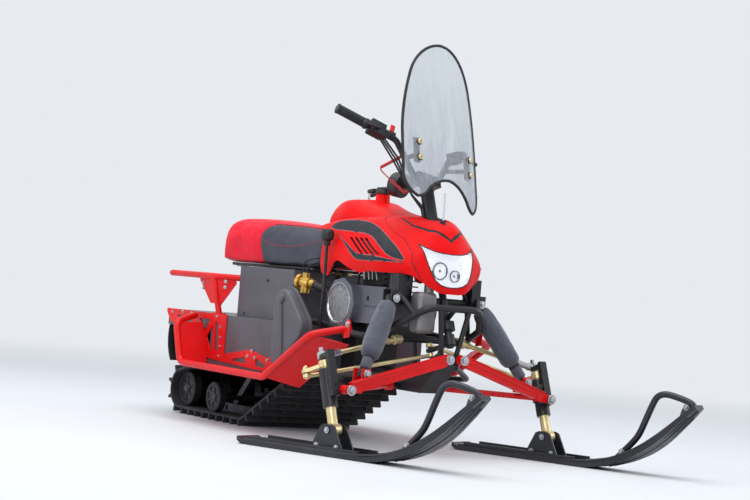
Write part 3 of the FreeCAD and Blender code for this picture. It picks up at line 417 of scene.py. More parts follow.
finished = set()
for material, nodes in FINISH.items():
    for node in nodes:
        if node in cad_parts:
            dress(node, material)
            finished.add(node)
print("CAD nodes without a finish:", sorted(set(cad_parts) - finished))

# %% [markdown]
# The bodywork is three moulded panels over a frame, with a tank cover on top. A moulding has no flat
# facets, but its designer still draws it by sections. So each skin starts as a bmesh grid whose rows are
# moved onto sections drawn along the machine, and a Subdivision Surface rounds it. Subdivision pulls a
# skin inside its cage, so the cage is pushed out again until the smooth skin passes through each section.

# %% A grid moved onto drawn sections, and its fairing
def link_mesh(name, bm):
    mesh = bpy.data.meshes.new(name)
    bm.to_mesh(mesh)
    bm.free()
    obj = bpy.data.objects.new(name, mesh)
    scene.collection.objects.link(obj)
    return obj


def grid_on(rows):
    bm = bmesh.new()
    bmesh.ops.create_grid(bm, x_segments=len(rows) - 1, y_segments=len(rows[0]) - 1, size=1.0)
    in_order = sorted(bm.verts, key=lambda v: (round(v.co.x, 4), round(v.co.y, 4)))
    for vert, place in zip(in_order, [place for row in rows for place in row]):
        vert.co = place
    return bm


def faired(bm, name, levels=4, passes=5):
    """The smooth mesh of a cage, which passes through the cage's own points."""
    cage = link_mesh(name + "_cage", bm)
    smooth = cage.modifiers.new("smooth", "SUBSURF")
    smooth.levels = smooth.render_levels = levels
    smooth.boundary_smooth = "PRESERVE_CORNERS"
    aims = [v.co.copy() for v in cage.data.vertices]
    for _ in range(passes):
        shown_now = cage.evaluated_get(bpy.context.evaluated_depsgraph_get())
        miss = [aim - shown_now.data.vertices[i].co for i, aim in enumerate(aims)]
        for vert, step in zip(cage.data.vertices, miss):
            vert.co += step
        cage.data.update()
    print(name, "largest miss after fairing, mm:", round(max(m.length for m in miss) * 1000, 2))
    shown_now = cage.evaluated_get(bpy.context.evaluated_depsgraph_get())
    out = bmesh.new()
    out.from_mesh(shown_now.data)
    bpy.data.objects.remove(cage)
    return out


def section(x, low, belt, shoulder, top, crown):
    """One section of a skin, from the right low edge over the crown to the left low edge."""
    half = [low, belt, shoulder, top]
    row = [at(x, -y, z) for y, z in half] + [at(x, 0, top[1] + crown)]
    return row + [at(x, y, z) for y, z in reversed(half)]

# %% The hood's sections, from the rear to the nose, and its closed nose
HOOD_SECTIONS = (
    (468, (194, 606), (198, 700), (178, 808), (108, 838), 5),
    (640, (206, 628), (212, 720), (176, 826), (128, 858), 5),
    (830, (208, 664), (214, 735), (166, 823), (100, 868), 5),
    (930, (200, 668), (205, 735), (148, 812), (80, 866), 5),
    (1013, (157, 669), (161, 718), (110, 776), (50, 838), 6),
    (1044, (120, 653), (124, 704), (88, 760), (36, 803), 5),
    (1062, (88, 631), (93, 684), (64, 734), (28, 768), 3),
    (1073, (64, 618), (70, 664), (46, 706), (21, 728), 2),
    (1076, (55, 614), (56, 648), (36, 680), (17, 692), 1),
    (1077, (42, 612), (36, 626), (22, 640), (10, 646), 1),
    (1075, (34, 610), (26, 610), (17, 610), (8, 610), 0),
)


def hood_skin():
    return faired(grid_on([section(*row) for row in HOOD_SECTIONS]), "hood")

# %% The tank cover's sections, closed at its two ends
TANK_SECTIONS = (
    (418, (70, 824), (54, 824), (36, 824), (18, 824), 0),
    (414, (90, 824), (78, 846), (56, 872), (30, 880), 1),
    (421, (97, 822), (105, 850), (80, 890), (50, 903), 3),
    (485, (112, 822), (120, 862), (96, 912), (60, 923), 4),
    (565, (118, 830), (124, 876), (94, 918), (58, 928), 4),
    (645, (102, 840), (102, 872), (74, 904), (46, 914), 4),
    (745, (88, 840), (86, 866), (58, 884), (36, 891), 3),
    (866, (76, 840), (74, 861), (52, 871), (34, 874), 2),
)


def tank_skin():
    return faired(grid_on([section(*row) for row in TANK_SECTIONS]), "tank")

# %% [markdown]
# Stripes, louvres and seams all start as outlines on a drawing: a side view for the flanks, a front view for
# the lamp, a top view for the panel line on the nose. An outline is scored into the skin by bisecting only
# the faces near it, one edge at a time. The faces inside it can then take another material, be sunk into a
# groove, be split off or be deleted, and the skin keeps its curve.

# %% Scoring an outline into a skin
FLAT = {"side": (0, 2), "front": (1, 2), "top": (0, 1)}
ALONG = {"side": Vector((0, 1, 0)), "front": FORWARD, "top": UPWARD}


def drawn(view, u, v):
    """A drawing's point in millimetres as a point of the model."""
    return {"side": at(u, 0, v), "front": at(0, u, v), "top": at(u, v, DATUM)}[view]


def inside(outline, u, v):
    crossings = 0
    for (u0, v0), (u1, v1) in zip(outline, outline[1:] + outline[:1]):
        if (v0 > v) != (v1 > v) and u < u0 + (v - v0) * (u1 - u0) / (v1 - v0):
            crossings += 1
    return crossings % 2 == 1


def score(bm, outline, view="side", keep=lambda centre: True):
    """Cuts an outline into the skin and returns the faces inside it."""
    i, j = FLAT[view]
    outline = list(outline)
    corners = [drawn(view, *place) for place in outline]
    for a, b in zip(corners, corners[1:] + corners[:1]):
        low = (min(a[i], b[i]), min(a[j], b[j]))
        high = (max(a[i], b[i]), max(a[j], b[j]))
        near = []
        for face in bm.faces:
            us = [v.co[i] for v in face.verts]
            vs = [v.co[j] for v in face.verts]
            if max(us) >= low[0] and min(us) <= high[0] and max(vs) >= low[1] and min(vs) <= high[1]:
                if keep(face.calc_center_median()):
                    near.append(face)
        parts = set(near)
        for face in near:
            parts.update(face.edges)
            parts.update(face.verts)
        bmesh.ops.bisect_plane(bm, geom=list(parts), dist=0.000002, plane_co=a,
                               plane_no=(b - a).cross(ALONG[view]))
    shape = [(c[i], c[j]) for c in corners]
    found = []
    for face in bm.faces:
        centre = face.calc_center_median()
        if keep(centre) and inside(shape, centre[i], centre[j]):
            found.append(face)
    return found


def cut_away(bm, faces):
    bmesh.ops.delete(bm, geom=faces, context="FACES")


def take(bm, faces):
    """A new bmesh with only these faces."""
    marks = {face.index for face in faces}
    part = bm.copy()
    part.faces.ensure_lookup_table()
    bmesh.ops.delete(part, geom=[f for f in part.faces if f.index not in marks], context="FACES")
    return part


def fresh(bm):
    bm.faces.index_update()
    bm.faces.ensure_lookup_table()


SLOT_OF = {"rubber": "black_plastic", "ski_plastic": "black_plastic", "engine_black": "black_plastic",
           "bright_steel": "zinc_gold", "sleeve_cloth": "sleeve_fabric", "clear_rod": "rod_plastic",
           "red_web": "strap_web", "cast_metal": "grille_steel", "thread_red": "seat_cover",
           "welt_black": "seat_cover"}


def placed(obj, materials, body, slot, replaced=()):
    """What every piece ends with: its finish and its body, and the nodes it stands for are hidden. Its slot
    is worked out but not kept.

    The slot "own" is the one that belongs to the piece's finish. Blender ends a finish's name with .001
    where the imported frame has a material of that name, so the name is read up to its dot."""
    for material in materials:
        obj.data.materials.append(material)
    obj.data.polygons.foreach_set("use_smooth", [True] * len(obj.data.polygons))
    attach(obj, body)
    if replaced:
        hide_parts(*replaced)
    if slot == "own":
        finish = materials[0].name.split(".")[0]
        slot = SLOT_OF.get(finish, finish)
    return obj


def panel(name, bm, materials, replaced=(), thickness=3.0, edge=0.9, slot="own"):
    """A moulded panel: outward skin, a wall on its inside, and a small rounded edge all round."""
    bmesh.ops.remove_doubles(bm, verts=bm.verts, dist=0.00001)
    obj = placed(link_mesh(name, bm), materials, "chassis", slot, replaced)
    if thickness:
        wall = obj.modifiers.new("wall", "SOLIDIFY")
        wall.thickness = thickness / 1000
        wall.offset = -1.0
    if edge:
        rim = obj.modifiers.new("rim", "BEVEL")
        rim.width = edge / 1000
        rim.segments = 2
        rim.limit_method = "ANGLE"
        rim.angle_limit = math.radians(50)
    return obj

# %% The hood's outlines
LOW_EDGE = ((497, 812), (532, 770), (540, 690), (548, 662), (560, 647), (580, 641), (600, 643), (620, 660),
            (640, 687), (654, 696), (668, 699), (690, 694), (721, 683), (771, 668), (810, 661),
            (850, 664), (880, 665))
BEHIND_AND_BELOW = ((880, 560), (440, 560), (440, 812))
SEAM = ((805, 900), (819, 862), (890, 826), (973, 787), (1023, 740), (1041, 690), (1055, 640), (1060, 560))


def curved(points, steps=5):
    """A smooth line through drawn points."""
    padded = [points[0], *points, points[-1]]
    out = []
    for a, b, c, d in zip(padded, padded[1:], padded[2:], padded[3:]):
        for i in range(steps):
            t = i / steps
            out.append(tuple(0.5 * (2 * q + (r - p) * t + (2 * p - 5 * q + 4 * r - s) * t * t
                                    + (3 * q - p - 3 * r + s) * t ** 3) for p, q, r, s in zip(a, b, c, d)))
    return out + [points[-1]]


BAND_TOP = ((548, 817), (562, 833), (605, 845), (677, 848), (745, 846), (795, 838), (845, 824), (900, 802),
            (950, 773), (990, 742), (1014, 717))
BAND_LOW = ((1004, 714), (972, 722), (947, 733), (926, 747), (898, 763), (866, 779), (830, 792), (790, 800),
            (729, 804), (656, 807), (593, 809))
LOW_TOP = ((617, 798), (650, 784), (700, 764), (745, 745), (785, 731), (830, 726), (885, 725), (945, 719),
           (985, 713), (1012, 707))
LOW_LOW = ((980, 706), (940, 706), (883, 705), (820, 705), (782, 710), (748, 727), (706, 750), (660, 774))
STRIPE_BAND = curved(BAND_TOP) + curved(BAND_LOW)
STRIPE_LOW = curved(LOW_TOP) + curved(LOW_LOW)
LOUVRES = ((703, 785, 816, 728), (735, 785, 852, 728), (766, 785, 886, 728), (797, 785, 914, 728))
LOUVRE_WIDTH = 17
LOUVRE_FIELD = ((684, 790), (826, 790), (946, 724), (800, 724))
NOSE_LINE = ((898, -104), (912, -106), (930, -104), (957, -99), (1010, -66), (1036, -34), (1049, 0),
             (1036, 34), (1010, 66), (957, 99), (930, 104), (912, 106), (898, 104))
NOSE_LINE_WIDTH = 6.0
SEAM_GAP = 2.0
FLANK_FROM, LAMP_FROM, TOP_FROM = 0.12, 0.995, 0.70
LAMP_HALF = ((0, 747), (-40, 749), (-68, 754), (-94, 764), (-111, 775), (-104, 750), (-98, 724), (-90, 698),
             (-80, 673), (-66, 652), (-46, 640), (-22, 634), (0, 633))
LAMP = LAMP_HALF + tuple((-y, z) for y, z in LAMP_HALF[-2:0:-1])
COLUMN_SLOT = ((866, -46), (968, -46), (968, 46), (866, 46))
print("outline points:", len(LOW_EDGE), len(STRIPE_BAND), len(STRIPE_LOW), len(LAMP))

# %% Cutting the hood into its three panels
hood = hood_skin()
cut_away(hood, score(hood, curved(LOW_EDGE, 3) + list(BEHIND_AND_BELOW)))
high_up = at(0, 0, 780).z
cut_away(hood, score(hood, COLUMN_SLOT, "top", lambda c: c.z > high_up))
for x0, z0, x1, z1 in LOUVRES:
    slot = ((x0, z0), (x0 + LOUVRE_WIDTH, z0), (x1 + LOUVRE_WIDTH, z1), (x1, z1))
    cut_away(hood, score(hood, slot))
for stripe in (STRIPE_BAND, STRIPE_LOW):
    faces = score(hood, stripe, "side", lambda c: abs(c.y) > FLANK_FROM)
    for face in faces:
        face.material_index = 1
    rim = bmesh.ops.inset_region(hood, faces=faces, thickness=0.0022, use_even_offset=True)
    for face in rim["faces"]:
        face.material_index = 2
lamp_faces = score(hood, LAMP, "front", lambda c: c.x > LAMP_FROM)
fresh(hood)
lens_skin = take(hood, lamp_faces)
cut_away(hood, lamp_faces)
outer = []
for i, (x, y) in enumerate(NOSE_LINE):
    (x0, y0), (x1, y1) = NOSE_LINE[max(i - 1, 0)], NOSE_LINE[min(i + 1, len(NOSE_LINE) - 1)]
    run = math.hypot(x1 - x0, y1 - y0)
    outer.append((x + NOSE_LINE_WIDTH * (y1 - y0) / run, y - NOSE_LINE_WIDTH * (x1 - x0) / run))
groove = score(hood, list(NOSE_LINE) + outer[::-1], "top", lambda c: c.z > TOP_FROM)
made = bmesh.ops.inset_region(hood, faces=groove, thickness=0.0008, depth=-0.0016, use_even_offset=True)
for face in groove + made["faces"]:
    face.material_index = 1
seam_groove = score(hood, SEAM + tuple((x - SEAM_GAP, z) for x, z in SEAM[::-1]))
made = bmesh.ops.inset_region(hood, faces=seam_groove, thickness=0.0004, depth=-0.0016, use_even_offset=True)
for face in seam_groove + made["faces"]:
    face.material_index = 1
nose_faces = score(hood, SEAM + ((1200, 560), (1200, 900)))
fresh(hood)
nose = take(hood, nose_faces)
fresh(hood)
cut_away(hood, nose_faces)
fresh(hood)
right_side = take(hood, [f for f in hood.faces if f.calc_center_median().y < 0])
left_side = take(hood, [f for f in hood.faces if f.calc_center_median().y > 0])
print("faces: nose", len(nose.faces), "right", len(right_side.faces), "left", len(left_side.faces))
hood.free()
BODY_FINISH = (red_panel, stripe_grey, stripe_edge)
panel("cowl_nose_skin", nose, BODY_FINISH, replaced=("cowl_front",))
panel("cowl_side_skin_r", right_side, BODY_FINISH, replaced=("cowl_side_r",))
panel("cowl_side_skin_l", left_side, BODY_FINISH, replaced=("cowl_side_l",))

# %% The tank cover, with its filler neck
tank = tank_skin()
neck = bmesh.new()
profile = ((52, 880), (44, 888), (36, 898), (29, 912), (24, 930), (21.5, 944), (20.5, 949), (18, 951),
           (0.01, 951))
places = [neck.verts.new(at(602 + r, 0, z)) for r, z in profile]
runs = [neck.edges.new(pair) for pair in zip(places, places[1:])]
bmesh.ops.spin(neck, geom=places + runs, cent=at(602, 0, 0), axis=(0, 0, 1), angle=math.tau, steps=40,
               use_merge=True)
bmesh.ops.remove_doubles(neck, verts=neck.verts, dist=0.0001)
bmesh.ops.recalc_face_normals(neck, faces=neck.faces)
if max(neck.faces, key=lambda f: f.calc_center_median().z).normal.z < 0:
    bmesh.ops.reverse_faces(neck, faces=neck.faces)
panel("tank_skin", tank, (red_panel,), replaced=("tank_cover",))
panel("tank_neck", neck, (red_panel,), thickness=2.0, edge=0)

# %% A dark sheet behind the louvres, as painted shade
shade_source = hood_skin()
shade_faces = score(shade_source, LOUVRE_FIELD, "side", lambda c: abs(c.y) > FLANK_FROM)
fresh(shade_source)
shade_sheet = take(shade_source, shade_faces)
shade_source.free()
shade_sheet.normal_update()
bmesh.ops.translate(shade_sheet, verts=[v for v in shade_sheet.verts if v.co.y < 0], vec=(0, 0.011, 0))
bmesh.ops.translate(shade_sheet, verts=[v for v in shade_sheet.verts if v.co.y > 0], vec=(0, -0.011, 0))
# A dark sheet 11 mm inside the skin: painted shade seen through the louvre slots.
panel("louvre_painted_shade", shade_sheet, (engine_black,), thickness=1.5, edge=0)

# %% [markdown]
# The lamp is one clear moulding that follows the nose, over a silvered bowl with two round reflectors, a
# larger one on the right and a smaller one on the left. The lens is the very skin that was cut from the
# nose, sunk a little, so it meets the panel all round. The bowl is a copy of it, set deeper, and given a
# near-white colour and a faint glow: painted light, in place of the light that the clear lens keeps from it.

# %% The lamp's lens and bowl
def open_rim(bm):
    """The open edge of a skin, walked in order from vertex to vertex."""
    rim = {edge for edge in bm.edges if edge.is_boundary}
    vert = min(rim, key=lambda edge: edge.index).verts[0]
    walked = []
    while True:
        step = next((edge for edge in vert.link_edges if edge in rim), None)
        if step is None:
            return walked
        rim.discard(step)
        walked.append(vert.co.copy())
        vert = step.other_vert(vert)


lens_skin.normal_update()
lens_skin.edges.index_update()
lens_rim = open_rim(lens_skin)
bowl_skin = lens_skin.copy()
bmesh.ops.translate(lens_skin, verts=lens_skin.verts, vec=(-0.0012, 0, 0))
panel("lamp_lens", lens_skin, (lamp_clear,), replaced=("headlight",), thickness=2.0, edge=0)
rim_points = [v.co.copy() for v in bowl_skin.verts if any(e.is_boundary for e in v.link_edges)]
for vert in bowl_skin.verts:
    if any(e.is_boundary for e in vert.link_edges):
        vert.co.x -= 0.004
        continue
    nearest = min((vert.co - place).length for place in rim_points)
    vert.co.x -= 0.004 + 0.030 * min(1.0, nearest / 0.022) ** 0.6
# Painted light: the bowl is near white and glows faintly, standing in for the light the clear lens keeps
# from it.
PAINTED_LAMP_GLOW = 0.26
lamp_silver_painted_glow = basic("lamp_silver_painted_glow", (252, 253, 254), (240, 242, 246), (0.25, 0.4), tint_scale=40.0,
                    grain=(60.0, 0.12, 0.002))
silver = lamp_silver_painted_glow.node_tree.nodes["Principled BSDF"].inputs
silver["Emission Color"].default_value = tone(244, 247, 252)
silver["Emission Strength"].default_value = PAINTED_LAMP_GLOW
panel("lamp_bowl", bowl_skin, (lamp_silver_painted_glow,), replaced=("headlight",), thickness=1.2, edge=0,
      slot="lamp_clear")


def round_reflector(name, y, z, x, radius, depth):
    """A bowl on the lamp's axis with a shaded collar and a bulb at its heart, spun from its half section."""
    bm = bmesh.new()
    half = ((0.01, -depth), (radius * 0.3, -depth * 0.93), (radius * 0.6, -depth * 0.7),
            (radius * 0.85, -depth * 0.35), (radius * 0.97, 0), (radius * 1.02, 3.0), (radius * 1.12, 3.0),
            (radius * 1.16, -2.0))
    verts = [bm.verts.new(at(x + d, y + r, z)) for r, d in half]
    edges = [bm.edges.new(pair) for pair in zip(verts, verts[1:])]
    bmesh.ops.spin(bm, geom=verts + edges, cent=at(0, y, z), axis=(1, 0, 0), angle=math.tau, steps=36,
                   use_merge=True)
    bmesh.ops.remove_doubles(bm, verts=bm.verts, dist=0.0001)
    bmesh.ops.recalc_face_normals(bm, faces=bm.faces)
    for face in bm.faces:
        out = math.hypot(face.calc_center_median().y - y / 1000,
                         face.calc_center_median().z - at(0, 0, z).z) * 1000
        face.material_index = 1 if out > radius * 0.99 else 0
    bulb = bmesh.ops.create_uvsphere(bm, u_segments=16, v_segments=10, radius=radius * 0.24 / 1000)
    bmesh.ops.scale(bm, verts=bulb["verts"], vec=(1.8, 1, 1))
    bmesh.ops.translate(bm, verts=bulb["verts"], vec=at(x - depth * 0.5, y, z))
    for vert in bulb["verts"]:
        for face in vert.link_faces:
            face.material_index = 1
    return panel(name, bm, (chrome, cast_metal), thickness=0, edge=0, slot="lamp_clear")


round_reflector("lamp_reflector_main", -31, 688, 1044, 27, 18)
round_reflector("lamp_reflector_side", 30, 674, 1048, 18, 14)

# %% [markdown]
# The seat is foam under a tight vinyl cover: a slate saddle panel on each flank, and crimson over the rear
# and along the top. Foam bulges between its seams, so the drawn sections are only its start. A closed skin
# on them, made a little small, is remeshed evenly and blown up as cloth for twenty frames, and no point may
# move more than a few millimetres. The panels are scored in after that, and the seams are sunk.

# %% The seat's sections and its closed form
SEAT_SECTIONS = (
    (-266, -250, -237, 164, 677, 170, 770, 127, 829),
    (-252, -238, -223, 170, 675, 174, 772, 131, 835),
    (-150, -145, -140, 172, 671, 176, 774, 129, 836),
    (-50, -50, -50, 172, 668, 176, 780, 128, 837),
    (60, 60, 60, 172, 668, 172, 770, 122, 831),
    (180, 180, 180, 172, 668, 163, 756, 112, 823),
    (300, 300, 300, 172, 668, 151, 745, 98, 818),
    (380, 380, 380, 162, 668, 137, 748, 90, 815),
    (420, 421, 421, 150, 669, 124, 753, 85, 810),
    (430, 431, 430, 144, 671, 120, 755, 82, 806),
)


def seat_ring(row, inset=0.0, toward=1.0, shift=0.0):
    """A closed ring round the seat: flat underside with a tight edge, flanks, shoulders, crowned top."""
    x_low, x_mid, x_top, w0, z0, w1, z1, w2, z2 = row
    middle = (z0 + z2) / 2
    x_half = (x_low + x_mid) / 2
    right = [(x_low, w0 * 0.5, z0), (x_low, w0 - 9, z0), (x_low, w0, z0 + 2),
             (x_low + (x_mid - x_low) * 0.1, w0 + 1, z0 + 12), (x_half, (w0 + w1) / 2 + 3, (z0 + z1) / 2),
             (x_mid, w1, z1), ((x_mid + x_top) / 2, (w1 + w2) / 2 + 9, (z1 + z2) / 2 + 8), (x_top, w2, z2),
             (x_top, w2 * 0.5, z2 + 3)]
    ring = [(x_low, 0, z0)] + [(x, -y, z) for x, y, z in right] + [(x_top, 0, z2 + 4)]
    ring += [(x, y, z) for x, y, z in reversed(right)]
    return [at(x + shift, y * toward - math.copysign(inset, y) * (abs(y) > inset),
               middle + (z - middle) * toward) for x, y, z in ring]


def seat_form():
    first, last = SEAT_SECTIONS[0], SEAT_SECTIONS[-1]
    rows = [seat_ring(first, toward=0.05, shift=-3), seat_ring(first, toward=0.5, shift=-3),
            seat_ring(first, toward=0.93, shift=-2)]
    rows += [seat_ring(row, inset=2.0) for row in SEAT_SECTIONS]
    rows += [seat_ring(last, toward=0.9, shift=2), seat_ring(last, toward=0.5, shift=3),
             seat_ring(last, toward=0.05, shift=3)]
    rows = [row + [row[0]] for row in rows]
    bm = grid_on(rows)
    bmesh.ops.remove_doubles(bm, verts=bm.verts, dist=0.0001)
    bmesh.ops.holes_fill(bm, edges=[e for e in bm.edges if e.is_boundary], sides=0)
    bmesh.ops.recalc_face_normals(bm, faces=bm.faces)
    return bm


def inflated(bm, name, voxel, cap, pressure=4.0, frames=20):
    """The form remeshed evenly and blown up as cloth, each point kept within a cap of its start."""
    body = link_mesh(name, bm)
    body.data.remesh_voxel_size = voxel
    round_off = body.modifiers.new("round", "SUBSURF")
    round_off.levels = round_off.render_levels = 3
    even = body.modifiers.new("even", "REMESH")
    even.mode = "VOXEL"
    even.voxel_size = voxel
    graph = bpy.context.evaluated_depsgraph_get()
    start = bpy.data.meshes.new_from_object(body.evaluated_get(graph))
    body.modifiers.clear()
    body.data = start
    print(name, "faces after the remesh:", len(start.polygons))
    cloth = body.modifiers.new("cloth", "CLOTH")
    cloth.settings.use_pressure = True
    cloth.settings.uniform_pressure_force = pressure
    cloth.settings.effector_weights.gravity = 0.0
    cloth.settings.tension_stiffness = cloth.settings.compression_stiffness = 12
    cloth.settings.bending_stiffness = 0.6
    cloth.point_cache.frame_start, cloth.point_cache.frame_end = 1, frames
    for frame_now in range(1, frames + 1):
        scene.frame_set(frame_now)
    blown = bpy.data.meshes.new_from_object(body.evaluated_get(bpy.context.evaluated_depsgraph_get()))
    moved = []
    for before, after in zip(start.vertices, blown.vertices):
        step = after.co - before.co
        if step.length > cap:
            step = step * (cap / step.length)
        moved.append(step.length)
        after.co = before.co + step
    body.modifiers.clear()
    body.data = blown
    scene.frame_set(1)
    print(name, "mean swell, mm:", round(sum(moved) / len(moved) * 1000, 2))
    return body

# %% Blowing up the seat
SEAT_VOXEL, SEAT_SWELL, SEAT_UNDERSIDE = 0.0065, 0.006, 669
seat = inflated(seat_form(), "seat_cover", SEAT_VOXEL, SEAT_SWELL)
seat_bm = bmesh.new()
seat_bm.from_mesh(seat.data)
flat_z = at(0, 0, SEAT_UNDERSIDE).z
for vert in seat_bm.verts:
    vert.co.z = max(vert.co.z, flat_z)
for _ in range(2):
    bmesh.ops.smooth_vert(seat_bm, verts=seat_bm.verts, factor=0.5, use_axis_x=True, use_axis_y=True,
                          use_axis_z=True)

# %% The seat's panels
REAR_SEAM = ((66, 840), (60, 832), (44, 812), (34, 794), (29, 774), (32, 750), (42, 716),
             (54, 690), (68, 655))
TOP_EDGE = ((68, 822), (102, 823), (243, 821), (330, 815), (389, 808), (440, 800))
SADDLE_STITCH = ((33, 776), (45, 764), (69, 753), (98, 746), (128, 742), (170, 740), (214, 739), (258, 741),
                 (303, 746), (345, 754), (377, 762), (410, 772), (440, 782))
SADDLE_FROM = 0.075
flank_panel = list(REAR_SEAM[2:]) + [(470, 655), (470, 792)] + list(TOP_EDGE[::-1]) + [(56, 819)]
faces = score(seat_bm, flank_panel, "side", lambda c: abs(c.y) > SADDLE_FROM)
for face in faces:
    face.material_index = 1
fresh(seat_bm)
print("saddle panel faces:", len(faces))
front_dark = ((418, 655), (420, 700), (440, 760), (470, 775), (470, 655))
for face in score(seat_bm, front_dark, "side"):
    face.material_index = 2


def welt_line(bm, groove_depth, width):
    """Sinks the seam where two covers meet, so that foam swells on both sides of it."""
    seam = set()
    for edge in bm.edges:
        if len({face.material_index for face in edge.link_faces}) > 1:
            seam.update(edge.verts)
    places = [v.co.copy() for v in seam]
    find = KDTree(len(places))
    for i, place in enumerate(places):
        find.insert(place, i)
    find.balance()
    bm.normal_update()
    steps = []
    for vert in bm.verts:
        distance = find.find(vert.co)[2]
        if distance < width:
            steps.append((vert, vert.normal * (-groove_depth * (1 - distance / width) ** 2)))
    for vert, step in steps:
        vert.co += step


welt_line(seat_bm, groove_depth=0.0032, width=0.010)
seat_bm.to_mesh(seat.data)
seat_bm.free()

# %% Vinyl finishes
def vinyl(name, colour, other, rough):
    """Stretched vinyl: a pebble grain under a faint drift of colour, with scuffs that take the shine off."""
    f = Finish(name)
    scuff = f.between(f.noise(26.0, 5.0, (1, 3, 1)), 0.42, 0.68, *rough)
    f.feed(f.shader, Base_Color=f.tint(7.0, colour, other), Roughness=scuff, Specular_IOR_Level=0.2,
           Sheen_Weight=0.04)
    pebble = f.node("ShaderNodeTexVoronoi", {"Scale": 520.0}, feature="SMOOTH_F1")
    f.link(f.place.outputs["Object"], pebble.inputs["Vector"])
    first = f.bump(pebble.outputs["Distance"], 0.25, 0.0006)
    f.bump(f.noise(34.0, 4.0), 0.10, 0.003, first)
    return f.material


seat_crimson = vinyl("seat_crimson", (234, 3, 44), (219, 2, 37), (0.42, 0.6))
seat_slate = vinyl("seat_slate", (68, 70, 81), (56, 58, 68), (0.42, 0.6))
seat_black = vinyl("seat_black", (42, 43, 48), (33, 34, 39), (0.45, 0.62))
for material in (seat_crimson, seat_slate, seat_black):
    seat.data.materials.append(material)
seat.data.polygons.foreach_set("use_smooth", [True] * len(seat.data.polygons))
soften = seat.modifiers.new("soften", "SUBSURF")
soften.levels = soften.render_levels = 1
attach(seat, "seat")
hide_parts("seat_cushion")

# %% [markdown]
# A red stitch runs in a shallow curve across each slate flank, and a dark welt follows the line where
# crimson meets slate. Each is a thin tube laid on the blown-up seat: its points are dropped from the drawing
# onto the real surface, so it follows the foam and not the drawing.

# %% Threads laid on the seat
def tube(name, points, radius, material, body="chassis", slot="own", sides=8, smooth=True):
    """A round tube along points, as a curve made mesh."""
    curve = bpy.data.curves.new(name, "CURVE")
    curve.dimensions = "3D"
    curve.bevel_depth = radius / 1000
    curve.bevel_resolution = max(1, sides // 4)
    curve.use_fill_caps = True
    curve.resolution_u = 6
    line = curve.splines.new("NURBS" if smooth else "POLY")
    line.points.add(len(points) - 1)
    for spot, place in zip(line.points, points):
        spot.co = (*place, 1.0)
    if smooth:
        line.order_u = min(3, len(points))
        line.use_endpoint_u = True
    made = bpy.data.objects.new(name + "_curve", curve)
    scene.collection.objects.link(made)
    mesh = bpy.data.meshes.new_from_object(made.evaluated_get(bpy.context.evaluated_depsgraph_get()))
    bpy.data.objects.remove(made)
    mesh.materials.clear()
    obj = bpy.data.objects.new(name, mesh)
    scene.collection.objects.link(obj)
    return placed(obj, (material,), body, slot)


def dense(line, step):
    out = []
    for (x0, z0), (x1, z1) in zip(line, line[1:]):
        count = max(1, round(math.hypot(x1 - x0, z1 - z0) / step))
        out += [(x0 + (x1 - x0) * i / count, z0 + (z1 - z0) * i / count) for i in range(count)]
    return out + [line[-1]]


seat_tree = BVHTree.FromObject(seat, bpy.context.evaluated_depsgraph_get())


def laid(line, side, lift):
    """Points of a side-view line dropped onto the seat's flank."""
    out = []
    for x, z in line:
        start = at(x, side * 400, z)
        hit = seat_tree.ray_cast(start, Vector((0, -side, 0)))
        if hit[0] is not None and abs(hit[0].y) > 0.06:
            out.append(hit[0] + hit[1] * lift / 1000)
    return out


thread_red = basic("thread_red", (190, 40, 56), (160, 26, 40), (0.6, 0.8), tint_scale=200.0,
                   grain=(3000.0, 0.4, 0.0003))
welt_black = basic("welt_black", (44, 44, 50), (34, 34, 38), (0.5, 0.65))
for side, tag in SIDES:
    tube("seat_stitch_" + tag, laid(dense(SADDLE_STITCH, 12), side, 0.2), 0.9, thread_red, body="seat")
    tube("seat_welt_" + tag, laid(dense(flank_panel[:-1], 12), side, -0.6), 1.9, welt_black, body="seat")

# %% A dark tube round the lens, as painted shade of the gap
shadow_gap = [place + Vector((0.0006, 0, 0)) for place in lens_rim]
# The dark tube is painted shade: it stands for the shadowed gap between lens and nose.
tube("lamp_shadow_gap", shadow_gap + shadow_gap[:2], 1.7, rubber, smooth=False)
print("lens rim, points:", len(lens_rim))

# %% [markdown]
# Turned parts come next: anything a lathe would make. One helper spins a half profile round any axis, and
# one lays a bolt head with its washer on a face. Profiles and bolt sizes are in millimetres, and the frame
# matrices put the pieces on the steered or turned assemblies.

# %% Spinning a profile, and bolts
ON_AXIS = 0.01


def facing(direction):
    """A turn that lays the local upright along a direction."""
    return Vector(direction).to_track_quat("Z", "Y").to_matrix().to_4x4()


def spun(name, profile, start, direction, material, steps=32, body="chassis", slot="own", matrix=None,
         replaced=()):
    """A half profile of (distance along the axis, radius), spun round an axis from a start point."""
    bm = bmesh.new()
    verts = [bm.verts.new((max(radius, ON_AXIS) / 1000, 0, along / 1000)) for along, radius in profile]
    edges = [bm.edges.new(pair) for pair in zip(verts, verts[1:])]
    bmesh.ops.spin(bm, geom=verts + edges, cent=(0, 0, 0), axis=(0, 0, 1), angle=math.tau, steps=steps,
                   use_merge=True)
    bmesh.ops.remove_doubles(bm, verts=bm.verts, dist=0.00003)
    bmesh.ops.recalc_face_normals(bm, faces=bm.faces)
    place = Matrix.Translation(Vector(start)) @ facing(direction)
    if matrix is not None:
        place = matrix @ place
    bmesh.ops.transform(bm, matrix=place, verts=bm.verts)
    return finish_piece(name, bm, material, body, slot, replaced)


def finish_piece(name, bm, material, body="chassis", slot="own", replaced=(), split=34):
    """A bmesh as a finished piece; its edges sharper than the split angle stay crisp."""
    obj = placed(link_mesh(name, bm), (material,), body, slot, replaced)
    if split:
        crisp = obj.modifiers.new("edges", "EDGE_SPLIT")
        crisp.split_angle = math.radians(split)
    return obj


WASHER = 0.0018


